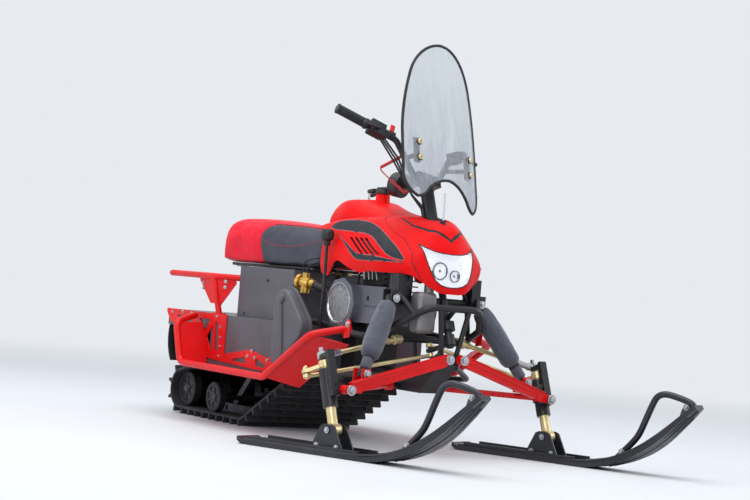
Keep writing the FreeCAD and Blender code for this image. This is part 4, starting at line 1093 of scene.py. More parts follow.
def soften_edges(bm, edges, width, segments=2):
    """A small rounded bevel along edges, its width in millimetres."""
    bmesh.ops.bevel(bm, geom=edges, offset=width / 1000, offset_type="OFFSET", segments=segments,
                    profile=0.5, affect="EDGES", material=-1)


def add_bolt(bm, place, direction, size):
    """A hexagon head on a washer, its top chamfered, added to a bmesh."""
    part = bmesh.new()
    disc = bmesh.ops.create_cone(part, cap_ends=True, segments=20, radius1=size * 0.98 / 1000,
                                 radius2=size * 0.94 / 1000, depth=WASHER)
    bmesh.ops.translate(part, verts=disc["verts"], vec=(0, 0, WASHER / 2))
    head = bmesh.ops.create_cone(part, cap_ends=True, segments=6, radius1=size * 0.62 / 1000,
                                 radius2=size * 0.62 / 1000, depth=size * 0.5 / 1000)
    bmesh.ops.translate(part, verts=head["verts"], vec=(0, 0, WASHER + size * 0.25 / 1000))
    tops = [e for e in part.edges if all(v.co.z > WASHER + size * 0.49 / 1000 for v in e.verts)]
    bmesh.ops.bevel(part, geom=tops, offset=size * 0.06 / 1000, offset_type="OFFSET", segments=1,
                    profile=0.5, affect="EDGES", material=-1)
    bmesh.ops.transform(part, matrix=Matrix.Translation(Vector(place)) @ facing(direction), verts=part.verts)
    joined = bpy.data.meshes.new("bolt_part")
    part.to_mesh(joined)
    part.free()
    bm.from_mesh(joined)
    bpy.data.meshes.remove(joined)


def bolts(name, places, size, material=bright_steel, body="chassis"):
    """A group of bolts of one size as one piece."""
    bm = bmesh.new()
    for place, direction in places:
        add_bolt(bm, place, direction, size)
    return finish_piece(name, bm, material, body, "zinc_gold", split=30)

# %% [markdown]
# The engine is cooled by a fan whose mouth is closed by a bright ring and a coarse wire mesh.
# The mesh is a bmesh grid, trimmed to the ring and turned to wire, with the fan's dark blades behind it.

# %% The fan's ring, mesh and blades
FAN_X, FAN_Z, FAN_FACE, FAN_RADIUS = 684, 549, -203.0, 74.0
MESH_RADIUS, MESH_BULGE, BLADES = 0.069, 0.007, 11
ring_profile = ((0, 66), (0, 71), (2, 73.5), (5, 74.5), (8, 73.5), (9.5, 71), (8.5, 67.5), (6, 65.5),
                (3, 65), (0, 66))
spun("fan_ring", ring_profile, at(FAN_X, FAN_FACE + 3.5, FAN_Z), (0, -1, 0), bright_steel, 64,
     slot="grille_steel", replaced=("fan_grille",))
mesh_bm = bmesh.new()
bmesh.ops.create_grid(mesh_bm, x_segments=26, y_segments=26, size=FAN_RADIUS / 1000)
bmesh.ops.rotate(mesh_bm, verts=mesh_bm.verts, cent=(0, 0, 0),
                 matrix=Matrix.Rotation(math.radians(45), 3, "Z"))
out_of_ring = [v for v in mesh_bm.verts if v.co.length > MESH_RADIUS]
bmesh.ops.delete(mesh_bm, geom=out_of_ring, context="VERTS")
for vert in mesh_bm.verts:
    vert.co.z = MESH_BULGE * (1 - (vert.co.length / MESH_RADIUS) ** 2)
bmesh.ops.transform(mesh_bm, matrix=Matrix.Translation(at(FAN_X, FAN_FACE - 1, FAN_Z)) @ facing(RIGHTWARD),
                    verts=mesh_bm.verts)
fan_mesh = finish_piece("fan_mesh", mesh_bm, bright_steel, slot="grille_steel", split=0)
wires = fan_mesh.modifiers.new("wires", "WIREFRAME")
wires.thickness = 0.0017
fan_back = bmesh.new()
for i in range(BLADES):
    blade = bmesh.ops.create_grid(fan_back, x_segments=3, y_segments=1, size=0.5)["verts"]
    bmesh.ops.scale(fan_back, verts=blade, vec=(0.046, 0.022, 1))
    bmesh.ops.rotate(fan_back, verts=blade, cent=(0, 0, 0), matrix=Matrix.Rotation(math.radians(38), 3, "X"))
    bmesh.ops.translate(fan_back, verts=blade, vec=(0.042, 0, 0))
    bmesh.ops.rotate(fan_back, verts=blade, cent=(0, 0, 0),
                     matrix=Matrix.Rotation(math.tau * i / BLADES, 3, "Z"))
bmesh.ops.transform(fan_back, matrix=Matrix.Translation(at(FAN_X, FAN_FACE + 14, FAN_Z))
                    @ facing(RIGHTWARD), verts=fan_back.verts)
fan_blades = finish_piece("fan_blades", fan_back, cast_metal, split=0)
blade_wall = fan_blades.modifiers.new("wall", "SOLIDIFY")
blade_wall.thickness = 0.0015
hub_profile = ((0, 0), (0, 14), (4, 17), (14, 18), (14, 0))
spun("fan_hub", hub_profile, at(FAN_X, FAN_FACE + 22, FAN_Z), (0, -1, 0), cast_metal, 28)
throat_profile = ((0, 0), (0, 66), (2, 70), (14, 70), (16, 73), (22, 74), (22, 71))
spun("fan_throat", throat_profile, at(FAN_X, FAN_FACE + 26, FAN_Z), (0, -1, 0), engine_black, 48,
     slot="grille_steel")

# %% [markdown]
# Bolts hold the machine together where the photograph shows bright heads: on the ladder plates, at the
# shocks, on the wishbones and at the ski pivots. They are plated hexagon heads on washers, each turned to
# the face that it sits on, so they cast the small shadows that make a plate look bolted.

# %% Bolt heads on the plates, the wishbones and the shocks
PLATE_BOLTS = ((-450, 449), (-363, 454), (-289, 452), (-82, 450), (-50, 412), (-46, 372), (-42, 338),
               (176, 317), (206, 339), (231, 315), (325, 313), (-46, 300))
for side, tag in SIDES:
    out_y = Vector((0, side, 0))
    bolts("plate_bolts_" + tag, [(at(x, side * 266.1, z), out_y) for x, z in PLATE_BOLTS], 7.0)
    bolts("arm_bolts_" + tag, [(at(1148.2, side * 421, 270), FORWARD),
                               (at(1146.1, side * 30, 389), FORWARD)], 18.0)
    bolts("shock_bolts_" + tag, [(at(1111.1, side * 340, 324), FORWARD),
                                 (at(1015.1, side * 182, 583), FORWARD)], 15.0)
    bolts("rack_bolts_" + tag, [(at(-216, side * 263.1, 577), out_y), (at(-214, side * 263.1, 556), out_y),
                                (at(-83, side * 241, 588), Vector((0.66, side * 0.75, 0))),
                                (at(-84, side * 241, 566), Vector((0.66, side * 0.75, 0)))], 7.5)
    body = "ski_right" if side < 0 else "ski_left"
    places = [(on(SKI[side], 0, e * 36.1, 85), SKI[side].to_3x3() @ Vector((0, e, 0))) for e in (-1, 1)]
    places += [(on(SKI[side], x, e * 33.1, z), SKI[side].to_3x3() @ Vector((0, e, 0)))
               for e in (-1, 1) for x, z in ((-42, 30), (42, 30))]
    bolts("ski_pivot_bolts_" + tag, places, 11.0, body=body)
    bolts("ski_plate_bolts_" + tag, [(on(SKI[side], x, 0, 16.1), UPWARD) for x in (-100, -140, 100)],
          9.0, body=body)

# %% Gold bolts of the windshield
PANE_CENTRE, PANE_OUTSIDE, BOLT_Y = 29.0 - 600.0, 604.0, 150.0
pane_out = PANE_CENTRE + math.sqrt(PANE_OUTSIDE ** 2 - BOLT_Y ** 2)
for i, (y, z) in enumerate((y, z) for y in (-150, 150) for z in (635, 692)):
    spot = on(SCREEN, pane_out + 0.2, y, z)
    ahead = SCREEN.to_3x3() @ Vector((math.cos(math.asin(y / PANE_OUTSIDE)), y / PANE_OUTSIDE, 0))
    spun("screen_washer_%d" % i, ((0, 5), (0, 11.5), (1.6, 12.2), (3.2, 11.5), (3.6, 5)), spot, ahead,
         rubber, 28, body="handlebar")
    spun("screen_bolt_%d" % i, ((3.0, 0), (3.0, 9.6), (5.2, 9.8), (8.6, 8.2), (10.4, 5.2), (10.6, 3.4),
                                (8.4, 3.2), (8.4, 0)), spot, ahead, zinc_gold, 28, body="handlebar")

# %% [markdown]
# The grips are moulded rubber, with fine rings for the palm and a collar at each end. The rings are in the
# half profile itself, so a spin makes real ridges that catch the light along the edge.

# %% Ribbed grips
def steered_axis(side):
    a = Vector((-66, side * 370, 812))
    b = Vector((10, side * 160, 720))
    return a, (b - a).normalized()


rib_profile = [(0, 7), (0, 15), (1.5, 18.2), (5, 18.6), (7, 17.6), (8, 16.2)]
for i in range(19):
    start_rib = 9 + 5.4 * i
    rib_profile += [(start_rib, 16.2), (start_rib + 1.2, 17.3), (start_rib + 3.0, 17.3),
                    (start_rib + 4.2, 16.2)]
rib_profile += [(113, 16.4), (116, 19.2), (120, 20.0), (124, 19.2), (127.5, 16), (127.5, 11.6)]
ON_BAR = {"body": "handlebar", "slot": None, "matrix": STEER}
grip_pieces = []
for side, tag in SIDES:
    a, u = steered_axis(side)
    first = (a - u * 6) / 1000
    grip_pieces.append(spun("grip_" + tag, rib_profile, first, u, rubber, 30, **ON_BAR))
    spun("grip_end_" + tag, ((-0.6, 0), (-0.6, 5), (-1.2, 8), (-0.2, 9.5), (1, 9.5)), first, u, dark_steel,
         24, **ON_BAR)
for piece in grip_pieces:
    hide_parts("grips")

# %% Switch block trim: red flag, push buttons and bar clamps
def steered_box(name, centre, size, along, material, edge):
    bm = bmesh.new()
    bmesh.ops.create_cube(bm, size=1.0)
    bmesh.ops.scale(bm, verts=bm.verts, vec=tuple(s / 1000 for s in size))
    soften_edges(bm, bm.edges[:], edge)
    turn = Vector(along).to_track_quat("Y", "Z").to_matrix().to_4x4()
    bmesh.ops.transform(bm, matrix=STEER @ Matrix.Translation(Vector(centre) / 1000) @ turn, verts=bm.verts)
    return finish_piece(name, bm, material, "handlebar", slot=None, split=40)


for side, tag in SIDES:
    a, u = steered_axis(side)
    middle = a + u * 157
    steered_box("switch_seam_" + tag, middle, (41.2, 2.0, 47.2), u, rubber, 0.5)
    steered_box("switch_pad_" + tag, middle + Vector((-21, 0, 4)), (4, 30, 24), u, engine_black, 1.0)
    clamp = a + u * 196
    spun("bar_clamp_" + tag, ((-8, 11.2), (-8, 15.5), (-6.5, 17), (6.5, 17), (8, 15.5), (8, 11.2)),
         clamp / 1000, u, black_plastic, 28, **ON_BAR)
    for k in (-8, 8):
        spun("switch_button_%s_%d" % (tag, k), ((0, 0), (0, 6.5), (3, 6.5), (4, 5), (4, 0)),
             (middle + u * k + Vector((-23, 0, 4))) / 1000, Vector((-1, 0, 0)), red_switch
             if k < 0 else cast_metal, 20, **ON_BAR)
a, u = steered_axis(-1)
steered_box("stop_switch_flag", a + u * 224 + Vector((6, 0, 28)), (7, 17, 36), u, red_switch, 1.8)
steered_box("stop_switch_neck", a + u * 218 + Vector((4, 0, 6)), (18, 30, 22), u, black_plastic, 3.0)

# %% [markdown]
# The stop switch hangs on a red lanyard: a coiled cord from the bar, a straight length, and a second coil
# down to a clip at the column. It is short and held at both ends, so it lies at its real run, each coil a
# fine tube wound on a helix.

# %% The red lanyard
def coiled(name, points, coil, thread, pitch):
    """A cord wound in a coil along a run of points: a fine tube laid on a helix."""
    line = []
    travelled = 0.0
    for p, q in zip(points, points[1:]):
        along = (q - p).normalized()
        across = along.cross(Vector((0.3, 0.2, 1))).normalized()
        beside = along.cross(across)
        count = max(2, round((q - p).length * 1000 / (pitch / 8)))
        for i in range(count):
            turn = math.tau * (travelled + (q - p).length * 1000 * i / count) / pitch
            middle = p + (q - p) * (i / count)
            line.append(middle + (across * math.cos(turn) + beside * math.sin(turn)) * coil / 1000)
        travelled += (q - p).length * 1000
    return tube(name, line, thread, red_web, "handlebar", "strap_web", sides=6, smooth=False)


top_run = [on(STEER, *p) for p in ((2, -117, 676), (-30, -110, 675), (-70, -101, 677), (-118, -91, 678))]
low_run = [on(STEER, *p) for p in ((-98, -70, 626), (-82, -57, 600), (-66, -45, 574), (-46, -36, 575),
                                   (-30, -31, 588))]
cord_run = [top_run[-1], on(STEER, -124, -88, 674), on(STEER, -118, -84, 660),
            on(STEER, -107, -77, 642), low_run[0]]
web_top = coiled("lanyard_coil_top", top_run, 4.2, 2.0, 4.2)
web_low = coiled("lanyard_coil_low", low_run, 3.8, 1.9, 4.0)
web_cord = tube("lanyard_cord", cord_run, 2.4, red_web, body="handlebar")
spun("lanyard_clip", ((-6, 0), (-6, 5), (-4, 6.2), (4, 6.2), (6, 5), (6, 0)),
     Vector((-26, -31, 591)) / 1000, Vector((1, 0.2, 0.1)), zinc_gold, 20, **ON_BAR)
for piece in (web_top, web_low, web_cord):
    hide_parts("stop_strap")

# %% [markdown]
# Flat and square parts are cut from plate or bar on the real machine. Two helpers make them the same way:
# one lays a bar between two places, the other pushes a plate's outline through its thickness. Both break
# every edge with a small bevel, because a sawn edge is always dressed and that thin line is what light
# finds.

# %% Bars and plates
def beam(name, p, q, width, height, material, edge=1.0, up=(0, 0, 1), body="chassis", slot="own"):
    """A bar with softened edges between two places."""
    along = (q - p).normalized()
    side = Vector(up).cross(along).normalized()
    top = along.cross(side)
    bm = bmesh.new()
    bmesh.ops.create_cube(bm, size=1.0)
    bmesh.ops.scale(bm, verts=bm.verts, vec=((q - p).length, width / 1000, height / 1000))
    soften_edges(bm, bm.edges[:], edge)
    place = Matrix((along, side, top)).transposed().to_4x4()
    place.translation = (p + q) / 2
    bmesh.ops.transform(bm, matrix=place, verts=bm.verts)
    return finish_piece(name, bm, material, body, slot, split=40)


def prism(name, corners, depth, material, edge=1.0, body="chassis", slot="own"):
    """An outline pushed through its thickness, with softened edges."""
    bm = bmesh.new()
    verts = [bm.verts.new(c) for c in corners]
    bmesh.ops.contextual_create(bm, geom=verts)
    made = bmesh.ops.extrude_face_region(bm, geom=bm.faces[:])
    bmesh.ops.translate(bm, verts=[g for g in made["geom"] if isinstance(g, bmesh.types.BMVert)], vec=depth)
    bmesh.ops.recalc_face_normals(bm, faces=bm.faces)
    soften_edges(bm, bm.edges[:], edge)
    print(name, "open edges:", sum(e.is_boundary for e in bm.edges))
    return finish_piece(name, bm, material, body, slot, split=40)

# %% [markdown]
# The windshield's edge carries a thin rubber bead. Its outline is drawn flat from lines and arcs, wrapped
# round the pane's radius and laid as one closed run, so the bead follows the bent sheet everywhere.

# %% The windshield's bead
def arc_through(a, b, c, steps):
    """Points on the circle through three places of a plane, without the last."""
    (ax, ay), (bx, by), (cx, cy) = a, b, c
    twice = 2 * (ax * (by - cy) + bx * (cy - ay) + cx * (ay - by))
    sa, sb, sc = ax * ax + ay * ay, bx * bx + by * by, cx * cx + cy * cy
    ux = (sa * (by - cy) + sb * (cy - ay) + sc * (ay - by)) / twice
    uy = (sa * (cx - bx) + sb * (ax - cx) + sc * (bx - ax)) / twice
    start, middle, stop = (math.atan2(y - uy, x - ux) for x, y in (a, b, c))
    sweep, half = (stop - start) % math.tau, (middle - start) % math.tau
    if half > sweep:
        sweep -= math.tau
    radius = math.hypot(ax - ux, ay - uy)
    turns = [start + sweep * i / steps for i in range(steps)]
    return [(ux + radius * math.cos(turn), uy + radius * math.sin(turn)) for turn in turns]


PANE_ARC, BEAD_RADIUS = 602.0, 5.2
half_edge = arc_through((0, 572), (57, 559), (112, 522),
                        8) + arc_through((112, 522), (134, 500), (164, 490), 5)
half_edge += arc_through((164, 490), (204, 520), (222, 590), 9) + [(222, 590), (221.4, 640), (220.7, 690)]
half_edge += arc_through((220, 735), (205, 850), (182, 938),
                         12) + arc_through((182, 938), (110, 1044), (0, 1083), 16)
edge_line = half_edge + [(-y, z) for y, z in reversed(half_edge)]
inset = []
for i, (y, z) in enumerate(edge_line):
    (y0, z0), (y1, z1) = edge_line[i - 1], edge_line[(i + 1) % len(edge_line)]
    run = math.hypot(y1 - y0, z1 - z0)
    inset.append((y - BEAD_RADIUS * (z1 - z0) / run, z + BEAD_RADIUS * (y1 - y0) / run))
bead_run = [on(SCREEN, PANE_CENTRE + math.sqrt(PANE_ARC ** 2 - y * y), y, z) for y, z in inset + inset[:2]]
bead = tube("windshield_bead", bead_run, BEAD_RADIUS, rubber, body="handlebar", sides=12, smooth=False)
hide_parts("windshield_trim")

# %% [markdown]
# Each ski carries a thick moulded hand loop on a web at the tip, two side lips, a middle rib on its top and
# three runners under its curve. The blade itself stays the CAD's; these pieces follow its top and bottom
# lines in the ski's own frame, so that they pitch and turn with it.

# %% Hand loops, lips, ribs and runners of the skis
LOOP_RUN = ((576, 0, 240), (570, 0, 256), (548, 0, 266), (512, 0, 275), (474, 0, 282), (448, 0, 281),
            (428, 0, 270), (416, 0, 248), (398, 0, 204), (378, 0, 152), (364, 0, 124), (336, 0, 92),
            (306, 0, 62), (288, 0, 42))
WEB_OUTLINE = ((496, 160), (520, 205), (530, 240), (548, 262), (572, 262), (586, 250), (576, 242))
SIDE_LIP = ((-342, 55, 17), (-200, 57, 17), (100, 57, 17), (160, 57, 20), (240, 57, 29), (322, 57, 53),
            (410, 55, 99), (488, 46, 161), (545, 34, 216), (578, 24, 246))
MIDDLE_RIB = ((170, 0, 17), (240, 0, 29), (322, 0, 52), (410, 0, 98), (488, 0, 161), (545, 0, 216),
              (578, 0, 249))
KEEL = ((262, 18), (330, 38), (420, 87), (498, 152), (585, 238))
RUNNER = ((262, 36, 17), (330, 36, 37), (420, 35, 86), (498, 30, 151), (562, 22, 213))
for side, tag in SIDES:
    body = "ski_right" if side < 0 else "ski_left"
    ski = SKI[side]
    loop = tube("ski_loop_" + tag, [on(ski, *p) for p in LOOP_RUN], 11.5, ski_plastic, body=body, sides=16)
    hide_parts("ski_handle_" + tag)
    prism("ski_web_" + tag, [on(ski, x, -6, z) for x, z in WEB_OUTLINE], ski.to_3x3()
          @ Vector((0, 0.012, 0)), ski_plastic, 1.5, body=body)
    web_ends = [(on(ski, 546, e * 6.1, 246), ski.to_3x3() @ Vector((0, e, 0))) for e in (-1, 1)]
    web_ends += [(on(ski, 312, e * 11.5, 68), ski.to_3x3() @ Vector((0, e, 0))) for e in (-1, 1)]
    bolts("ski_loop_bolts_" + tag, web_ends, 12.0, body=body)
    for e, name in ((-1, "out"), (1, "in")):
        tube("ski_lip_%s_%s" % (name, tag), [on(ski, x, e * y, z) for x, y, z in SIDE_LIP], 5.0,
             ski_plastic, body=body)
        tube("ski_runner_%s_%s" % (name, tag), [on(ski, x, e * y, z) for x, y, z in RUNNER], 5.5,
             ski_plastic, body=body)
    tube("ski_rib_" + tag, [on(ski, *p) for p in MIDDLE_RIB], 9.0, ski_plastic, body=body)
    tube("ski_keel_" + tag, [on(ski, x, 0, z) for x, z in KEEL], 8.0, ski_plastic, body=body)

# %% [markdown]
# Fabric sleeves keep snow off the shocks. Each is sewn to a cone, gathered with a band above a narrow
# cuff, and it creases round the gather and drapes in long shallow folds. The folds are worked into the
# tube of cloth itself: its rows are moved in and out by a noise that runs along the leg, stronger by the
# band.

# %% Gathered shock sleeves
SLEEVE_SHAPE = ((16, 13.4), (17, 17.5), (24, 18.5), (44, 19.5), (58, 19.0), (63, 17.2), (67, 17.0),
                (71, 21.5), (76, 28), (84, 32.5), (96, 35.0), (126, 36.8), (180, 36.8), (236, 36.0),
                (262, 34.0), (280, 31.0), (290, 28.0), (295, 23.0), (296, 13.4))


def shape_at(distance):
    for (a, ra), (b, rb) in zip(SLEEVE_SHAPE, SLEEVE_SHAPE[1:]):
        if distance <= b:
            return ra + (rb - ra) * (distance - a) / (b - a)
    return SLEEVE_SHAPE[-1][1]


def sleeve_cloth_piece(tag, side):
    low, top = at(1083, side * 340, 324), at(978, side * 182, 583)
    axis = (top - low).normalized()
    across = axis.cross(UPWARD).normalized()
    beside = axis.cross(across)
    marks = sorted({a for a, r in SLEEVE_SHAPE} | {78 + 5.5 * i for i in range(38)})
    rows = []
    for distance in marks:
        radius = shape_at(distance)
        gather = math.exp(-((distance - 68) / 16) ** 2)
        free = 0.0 if distance < 17 or distance > 294 else 1.0
        row = []
        for i in range(48):
            turn = math.tau * i / 48
            out = across * math.cos(turn) + beside * math.sin(turn)
            long_fold = noise.noise(Vector((math.cos(turn) * 1.3, math.sin(turn) * 1.3, distance * 0.011
                                            + side * 3)))
            short_fold = noise.noise(Vector((math.cos(turn) * 3.2, math.sin(turn) * 3.2, distance * 0.05
                                             + side * 7)))
            pleat = math.sin(turn * 13 + side) * gather
            shift = free * (3.4 * long_fold + 1.9 * short_fold + 1.5 * pleat)
            row.append(low + (axis * distance + out * (radius + shift)) / 1000)
        rows.append(row + [row[0]])
    bm = grid_on(rows)
    bmesh.ops.remove_doubles(bm, verts=bm.verts, dist=0.0001)
    bmesh.ops.recalc_face_normals(bm, faces=bm.faces)
    finish_piece("shock_cloth_" + tag, bm, sleeve_cloth, replaced=("shock_sleeve_" + tag,), split=0)
    spun("sleeve_band_" + tag, ((60, 16.5), (60, 19.4), (61, 20.2), (67, 20.2), (68, 19.4), (68, 16.5)),
         low, axis, rubber, 36)
    seam = [low + (axis * d + across * -(shape_at(d) + 0.6)) / 1000
            for d in (80, 110, 150, 190, 230, 262, 284)]
    tube("sleeve_seam_" + tag, seam, 1.0, sleeve_cloth)


for side, tag in SIDES:
    sleeve_cloth_piece(tag, side)

# %% [markdown]
# The front links end in ball joints: plated sockets with a dust boot under them and a castle nut over
# them. The wishbones are pressed channels, shown by a lip along each edge of the front bar.

# %% Joint ends, lips of the wishbones, knuckle ribs
KING = {s: Matrix.Translation(at(1018, s * STANCE, 345)) @ turned(-RAKE, "Y") @ turned(TURN, "Z")
        for s in (-1, 1)}
LEAN = Matrix.Rotation(math.radians(-RAKE), 3, "Y") @ UPWARD
TIE_END = Vector((-0.085, 0, 0))
TIE_BOOT = {1: ((5, 11), (7, 13.5), (9, 12), (11, 13.5), (13, 11.5)), -1: ((-9, 11), (-7.5, 13.5), (-6, 12))}
TIE_NUT = {1: ((-8, 6), (-8, 9.5), (-16, 9.5), (-17, 7), (-20, 5), (-20, 0)),
           -1: ((4, 6), (4, 9.5), (12, 9.5), (13, 7), (18, 5), (18, 0))}
for side, tag in SIDES:
    inner, outer = at(966, side * 130, 443), at(990, side * 440, 372)
    inward = (inner - outer).normalized()
    spun("link_end_" + tag, ((0, 8), (0, 12), (3, 14), (16, 14), (20, 11.5), (62, 11.5), (64, 10.5),
                             (74, 10.5), (75, 8)), outer - inward * 0.002, inward, bright_steel, 24)
    spun("link_nut_" + tag, ((-10, 8), (-10, 16.6), (-7, 17.2), (8, 17.2), (14, 14), (16, 8), (30, 8),
                             (31, 6), (31, 0)), at(992, side * 450, 370), LEAN, bright_steel, 6)
    spun("link_inner_" + tag, ((-4, 8), (-4, 15.5), (0, 16.5), (8, 16.5), (10, 12), (34, 11), (36, 8)),
         inner + (outer - inner).normalized() * 0.012, (outer - inner).normalized(), zinc_gold, 24)
    arm_body = "spindle_right" if side < 0 else "spindle_left"
    spun("tie_boot_" + tag, TIE_BOOT[side], TIE_END, UPWARD, rubber, 24, body=arm_body, matrix=KING[side])
    spun("tie_nut_" + tag, TIE_NUT[side], TIE_END, UPWARD, zinc_gold, 6, body=arm_body, matrix=KING[side])
    p, q = at(1132, side * 44, 384), at(1116, side * 402, 276)
    along = (q - p).normalized()
    lift = FORWARD.cross(along).normalized() * (1 if side > 0 else -1)
    lift = lift if lift.z > 0 else -lift
    ahead = along.cross(lift).normalized()
    ahead = ahead if ahead.x > 0 else -ahead
    for share, name in ((16.8, "top"), (-16.8, "low"), (0.0, "mid")):
        shift = lift * share / 1000 + ahead * (0.0135 if name != "mid" else 0.0125)
        beam("arm_lip_%s_%s" % (name, tag), p + along * 0.012 + shift, q - along * 0.004 + shift,
             3.4 if name != "mid" else 1.6, 4.4, red_paint, up=ahead)
    web = [at(1062, side * y, z) for y, z in ((404, 288), (410, 306), (430, 318), (452, 316), (462, 300),
                                              (462, 262), (440, 244), (424, 246))]
    prism("knuckle_web_" + tag, web, Vector((0.014, 0, 0)), black_frame, 2.5)

# %% Lever knob, hood rod foot, filler neck and cap
knob_profile = ((0, 8), (0, 11.5), (18, 13.5), (20, 17), (26, 22.5), (40, 24.5), (52, 23), (59, 17),
                (61, 9), (61, 0))
spun("lever_knob", knob_profile, at(608, -227, 748), Vector((0.02, 0, 1)), black_plastic, 9)
spun("hood_rod_foot", ((0, 4), (0, 12), (3, 13.5), (9, 13.5), (12, 10.5), (26, 9.5), (29, 7.5), (29, 3.2)),
     at(993, 0, 836), UPWARD, rubber, 24, replaced=("hood_rod",))
tube("hood_rod_clear", [at(993, 0, 858), at(994, 0, 890), at(994, 0, 925), at(992, 0, 961.9)], 3.5,
     clear_rod, sides=12)
skirt_profile = ((-34, 52), (-26, 46), (-14, 37), (0, 31.5), (14, 28.5), (36, 26.0), (50, 25.0),
                 (52, 23), (52, 19))
spun("filler_neck", skirt_profile, at(602, 0, 902), Vector((0.02, 0, 1)), red_panel, 40)
cap_profile = [(0, 20), (0, 26.5), (2, 28), (11, 28), (14, 26), (15, 21), (17, 12), (17, 0)]
spun("filler_cap", cap_profile, at(602, 0, 954), Vector((0.02, 0, 1)), black_plastic, 30)
beam("filler_cap_bar", at(566, 0, 974), at(640, 0, 976), 13, 11, black_plastic, 3.0)
beam("filler_lock", at(520, -8, 962), at(560, -5, 968), 20, 14, black_plastic, 3.5)
beam("filler_key", at(528, -12, 930), at(530, -11, 956), 2.0, 12, bright_steel, 0.6, up=(1, 0, 0))

# %% Chain case, board ears, box fittings
CASE = ((440, 336, 46), (552, 446, 62), (461, 524, 66))


def hull_of(circles, grow):
    """The tight outline round circles, each grown by an offset, as points in the side view."""
    dots = sorted({(round(x + (r + grow) * math.cos(math.tau * i / 72), 4),
                    round(z + (r + grow) * math.sin(math.tau * i / 72), 4)) for x, z, r in circles
                   for i in range(72)})
    found = []
    for run in (dots, dots[::-1]):
        part = []
        for x, z in run:
            while len(part) > 1 and ((part[-1][0] - part[-2][0]) * (z - part[-2][1]) -
                                     (part[-1][1] - part[-2][1]) * (x - part[-2][0])) <= 0:
                part.pop()
            part.append((x, z))
        found += part[:-1]
    return found


case_bm = bmesh.new()
for low_y, high_y, grow, soft_edge in ((262.3, 274.3, 0, 2.0), (272.0, 306.3, -9, 9.0)):
    ring = [case_bm.verts.new(at(x, -low_y, z)) for x, z in hull_of(CASE, grow)]
    face = bmesh.ops.contextual_create(case_bm, geom=ring)["faces"]
    made = bmesh.ops.extrude_face_region(case_bm, geom=face)
    front = [g for g in made["geom"] if isinstance(g, bmesh.types.BMVert)]
    bmesh.ops.translate(case_bm, verts=front, vec=(0, (low_y - high_y) / 1000, 0))
    rim = [e for e in {e for v in front for e in v.link_edges} if all(v in front for v in e.verts)]
    soften_edges(case_bm, rim, soft_edge, segments=5)
bmesh.ops.recalc_face_normals(case_bm, faces=case_bm.faces)
finish_piece("chain_cover", case_bm, grey_paint, replaced=("chain_case",), split=44)
spun("case_boss", ((-2, 18), (3, 18), (8, 16.5), (11, 12), (12.5, 6), (12.8, 0)), at(462, -306.2, 547),
     RIGHTWARD, grey_paint)
tube("case_rib", [at(452, -305.5, 536), at(456, -307.5, 526), at(472, -307.5, 430), at(484, -307, 352),
                  at(486, -305, 340)], 9.5, grey_paint, sides=16)
for side, tag in SIDES:
    ear = [at(x, side * 281, z) for x, z in ((858, 430), (892, 436), (896, 482), (892, 492), (882, 497),
                                             (871, 494), (864, 484), (860, 460))]
    prism("board_ear_" + tag, ear, Vector((0, side * 0.004, 0)), red_paint, 0.8)
    bolts("board_ear_bolt_" + tag, [(at(880, side * 285.1, 480), Vector((0, side, 0)))], 11.0)
    tube("board_tip_" + tag, [at(826, side * 270, 452), at(846, side * 270, 464), at(874, side * 275, 466)],
         12.5, red_paint, sides=16)
    bolts("box_bolts_" + tag, [(at(176, side * 205.2, 606), Vector((0, side, 0))),
                               (at(18, side * 205.2, 474), Vector((0, side, 0)))], 6.0, material=dark_steel)

# %% [markdown]
# Between the shocks the frame has curved braces that tie its ears to the bumper hoop, and under the hood
# hang hoses and leads. They are round runs of rubber and wire, laid where the photograph shows them.

# %% Frame braces, hoses and leads
for side, tag in SIDES:
    brace = [at(986, side * 176, 606), at(1002, side * 168, 600), at(1030, side * 152, 572),
             at(1054, side * 138, 540), at(1066, side * 132, 528)]
    tube("frame_brace_" + tag, brace, 10.5, black_frame, sides=16)
    tube("ear_brace_" + tag, [at(984, side * 172, 598), at(974, side * 172, 640), at(960, side * 168, 668),
                              at(948, side * 160, 690)], 11.0, black_frame, sides=16)
tube("fuel_hose", [at(424, -190, 640), at(430, -188, 668), at(452, -176, 684), at(500, -150, 690),
                   at(540, -120, 700)], 4.2, rubber)
tube("throttle_lead", [at(410, -186, 640), at(398, -190, 660), at(420, -196, 690), at(470, -190, 700),
                       at(540, -150, 716)], 2.6, rubber)
for i, (x, lift) in enumerate(((716, 0), (748, 6), (800, -4))):
    tube("wire_loop_%d" % i, [at(x, -146, 640), at(x + 4, -152, 668 + lift), at(x + 14, -154, 690 + lift),
                              at(x + 26, -152, 682 + lift), at(x + 30, -146, 640)], 2.2, bright_steel
         if i != 1 else white_plastic, slot="zinc_gold")
tube("plug_lead", [at(694, -40, 746), at(700, -90, 752), at(712, -130, 730), at(720, -148, 690),
                   at(716, -150, 622)], 4.0, rubber)
tube("coolant_hose", [at(596, -150, 560), at(560, -168, 574), at(520, -172, 600), at(500, -160, 640),
                      at(520, -130, 680)], 9.0, rubber, sides=16)

# %% [markdown]
# The wheels inside the track are moulded with a rim, a hub and curved ribs. Each outer face gets them as
# raised pieces on the flat CAD disc, with a dark tyre round the outside.

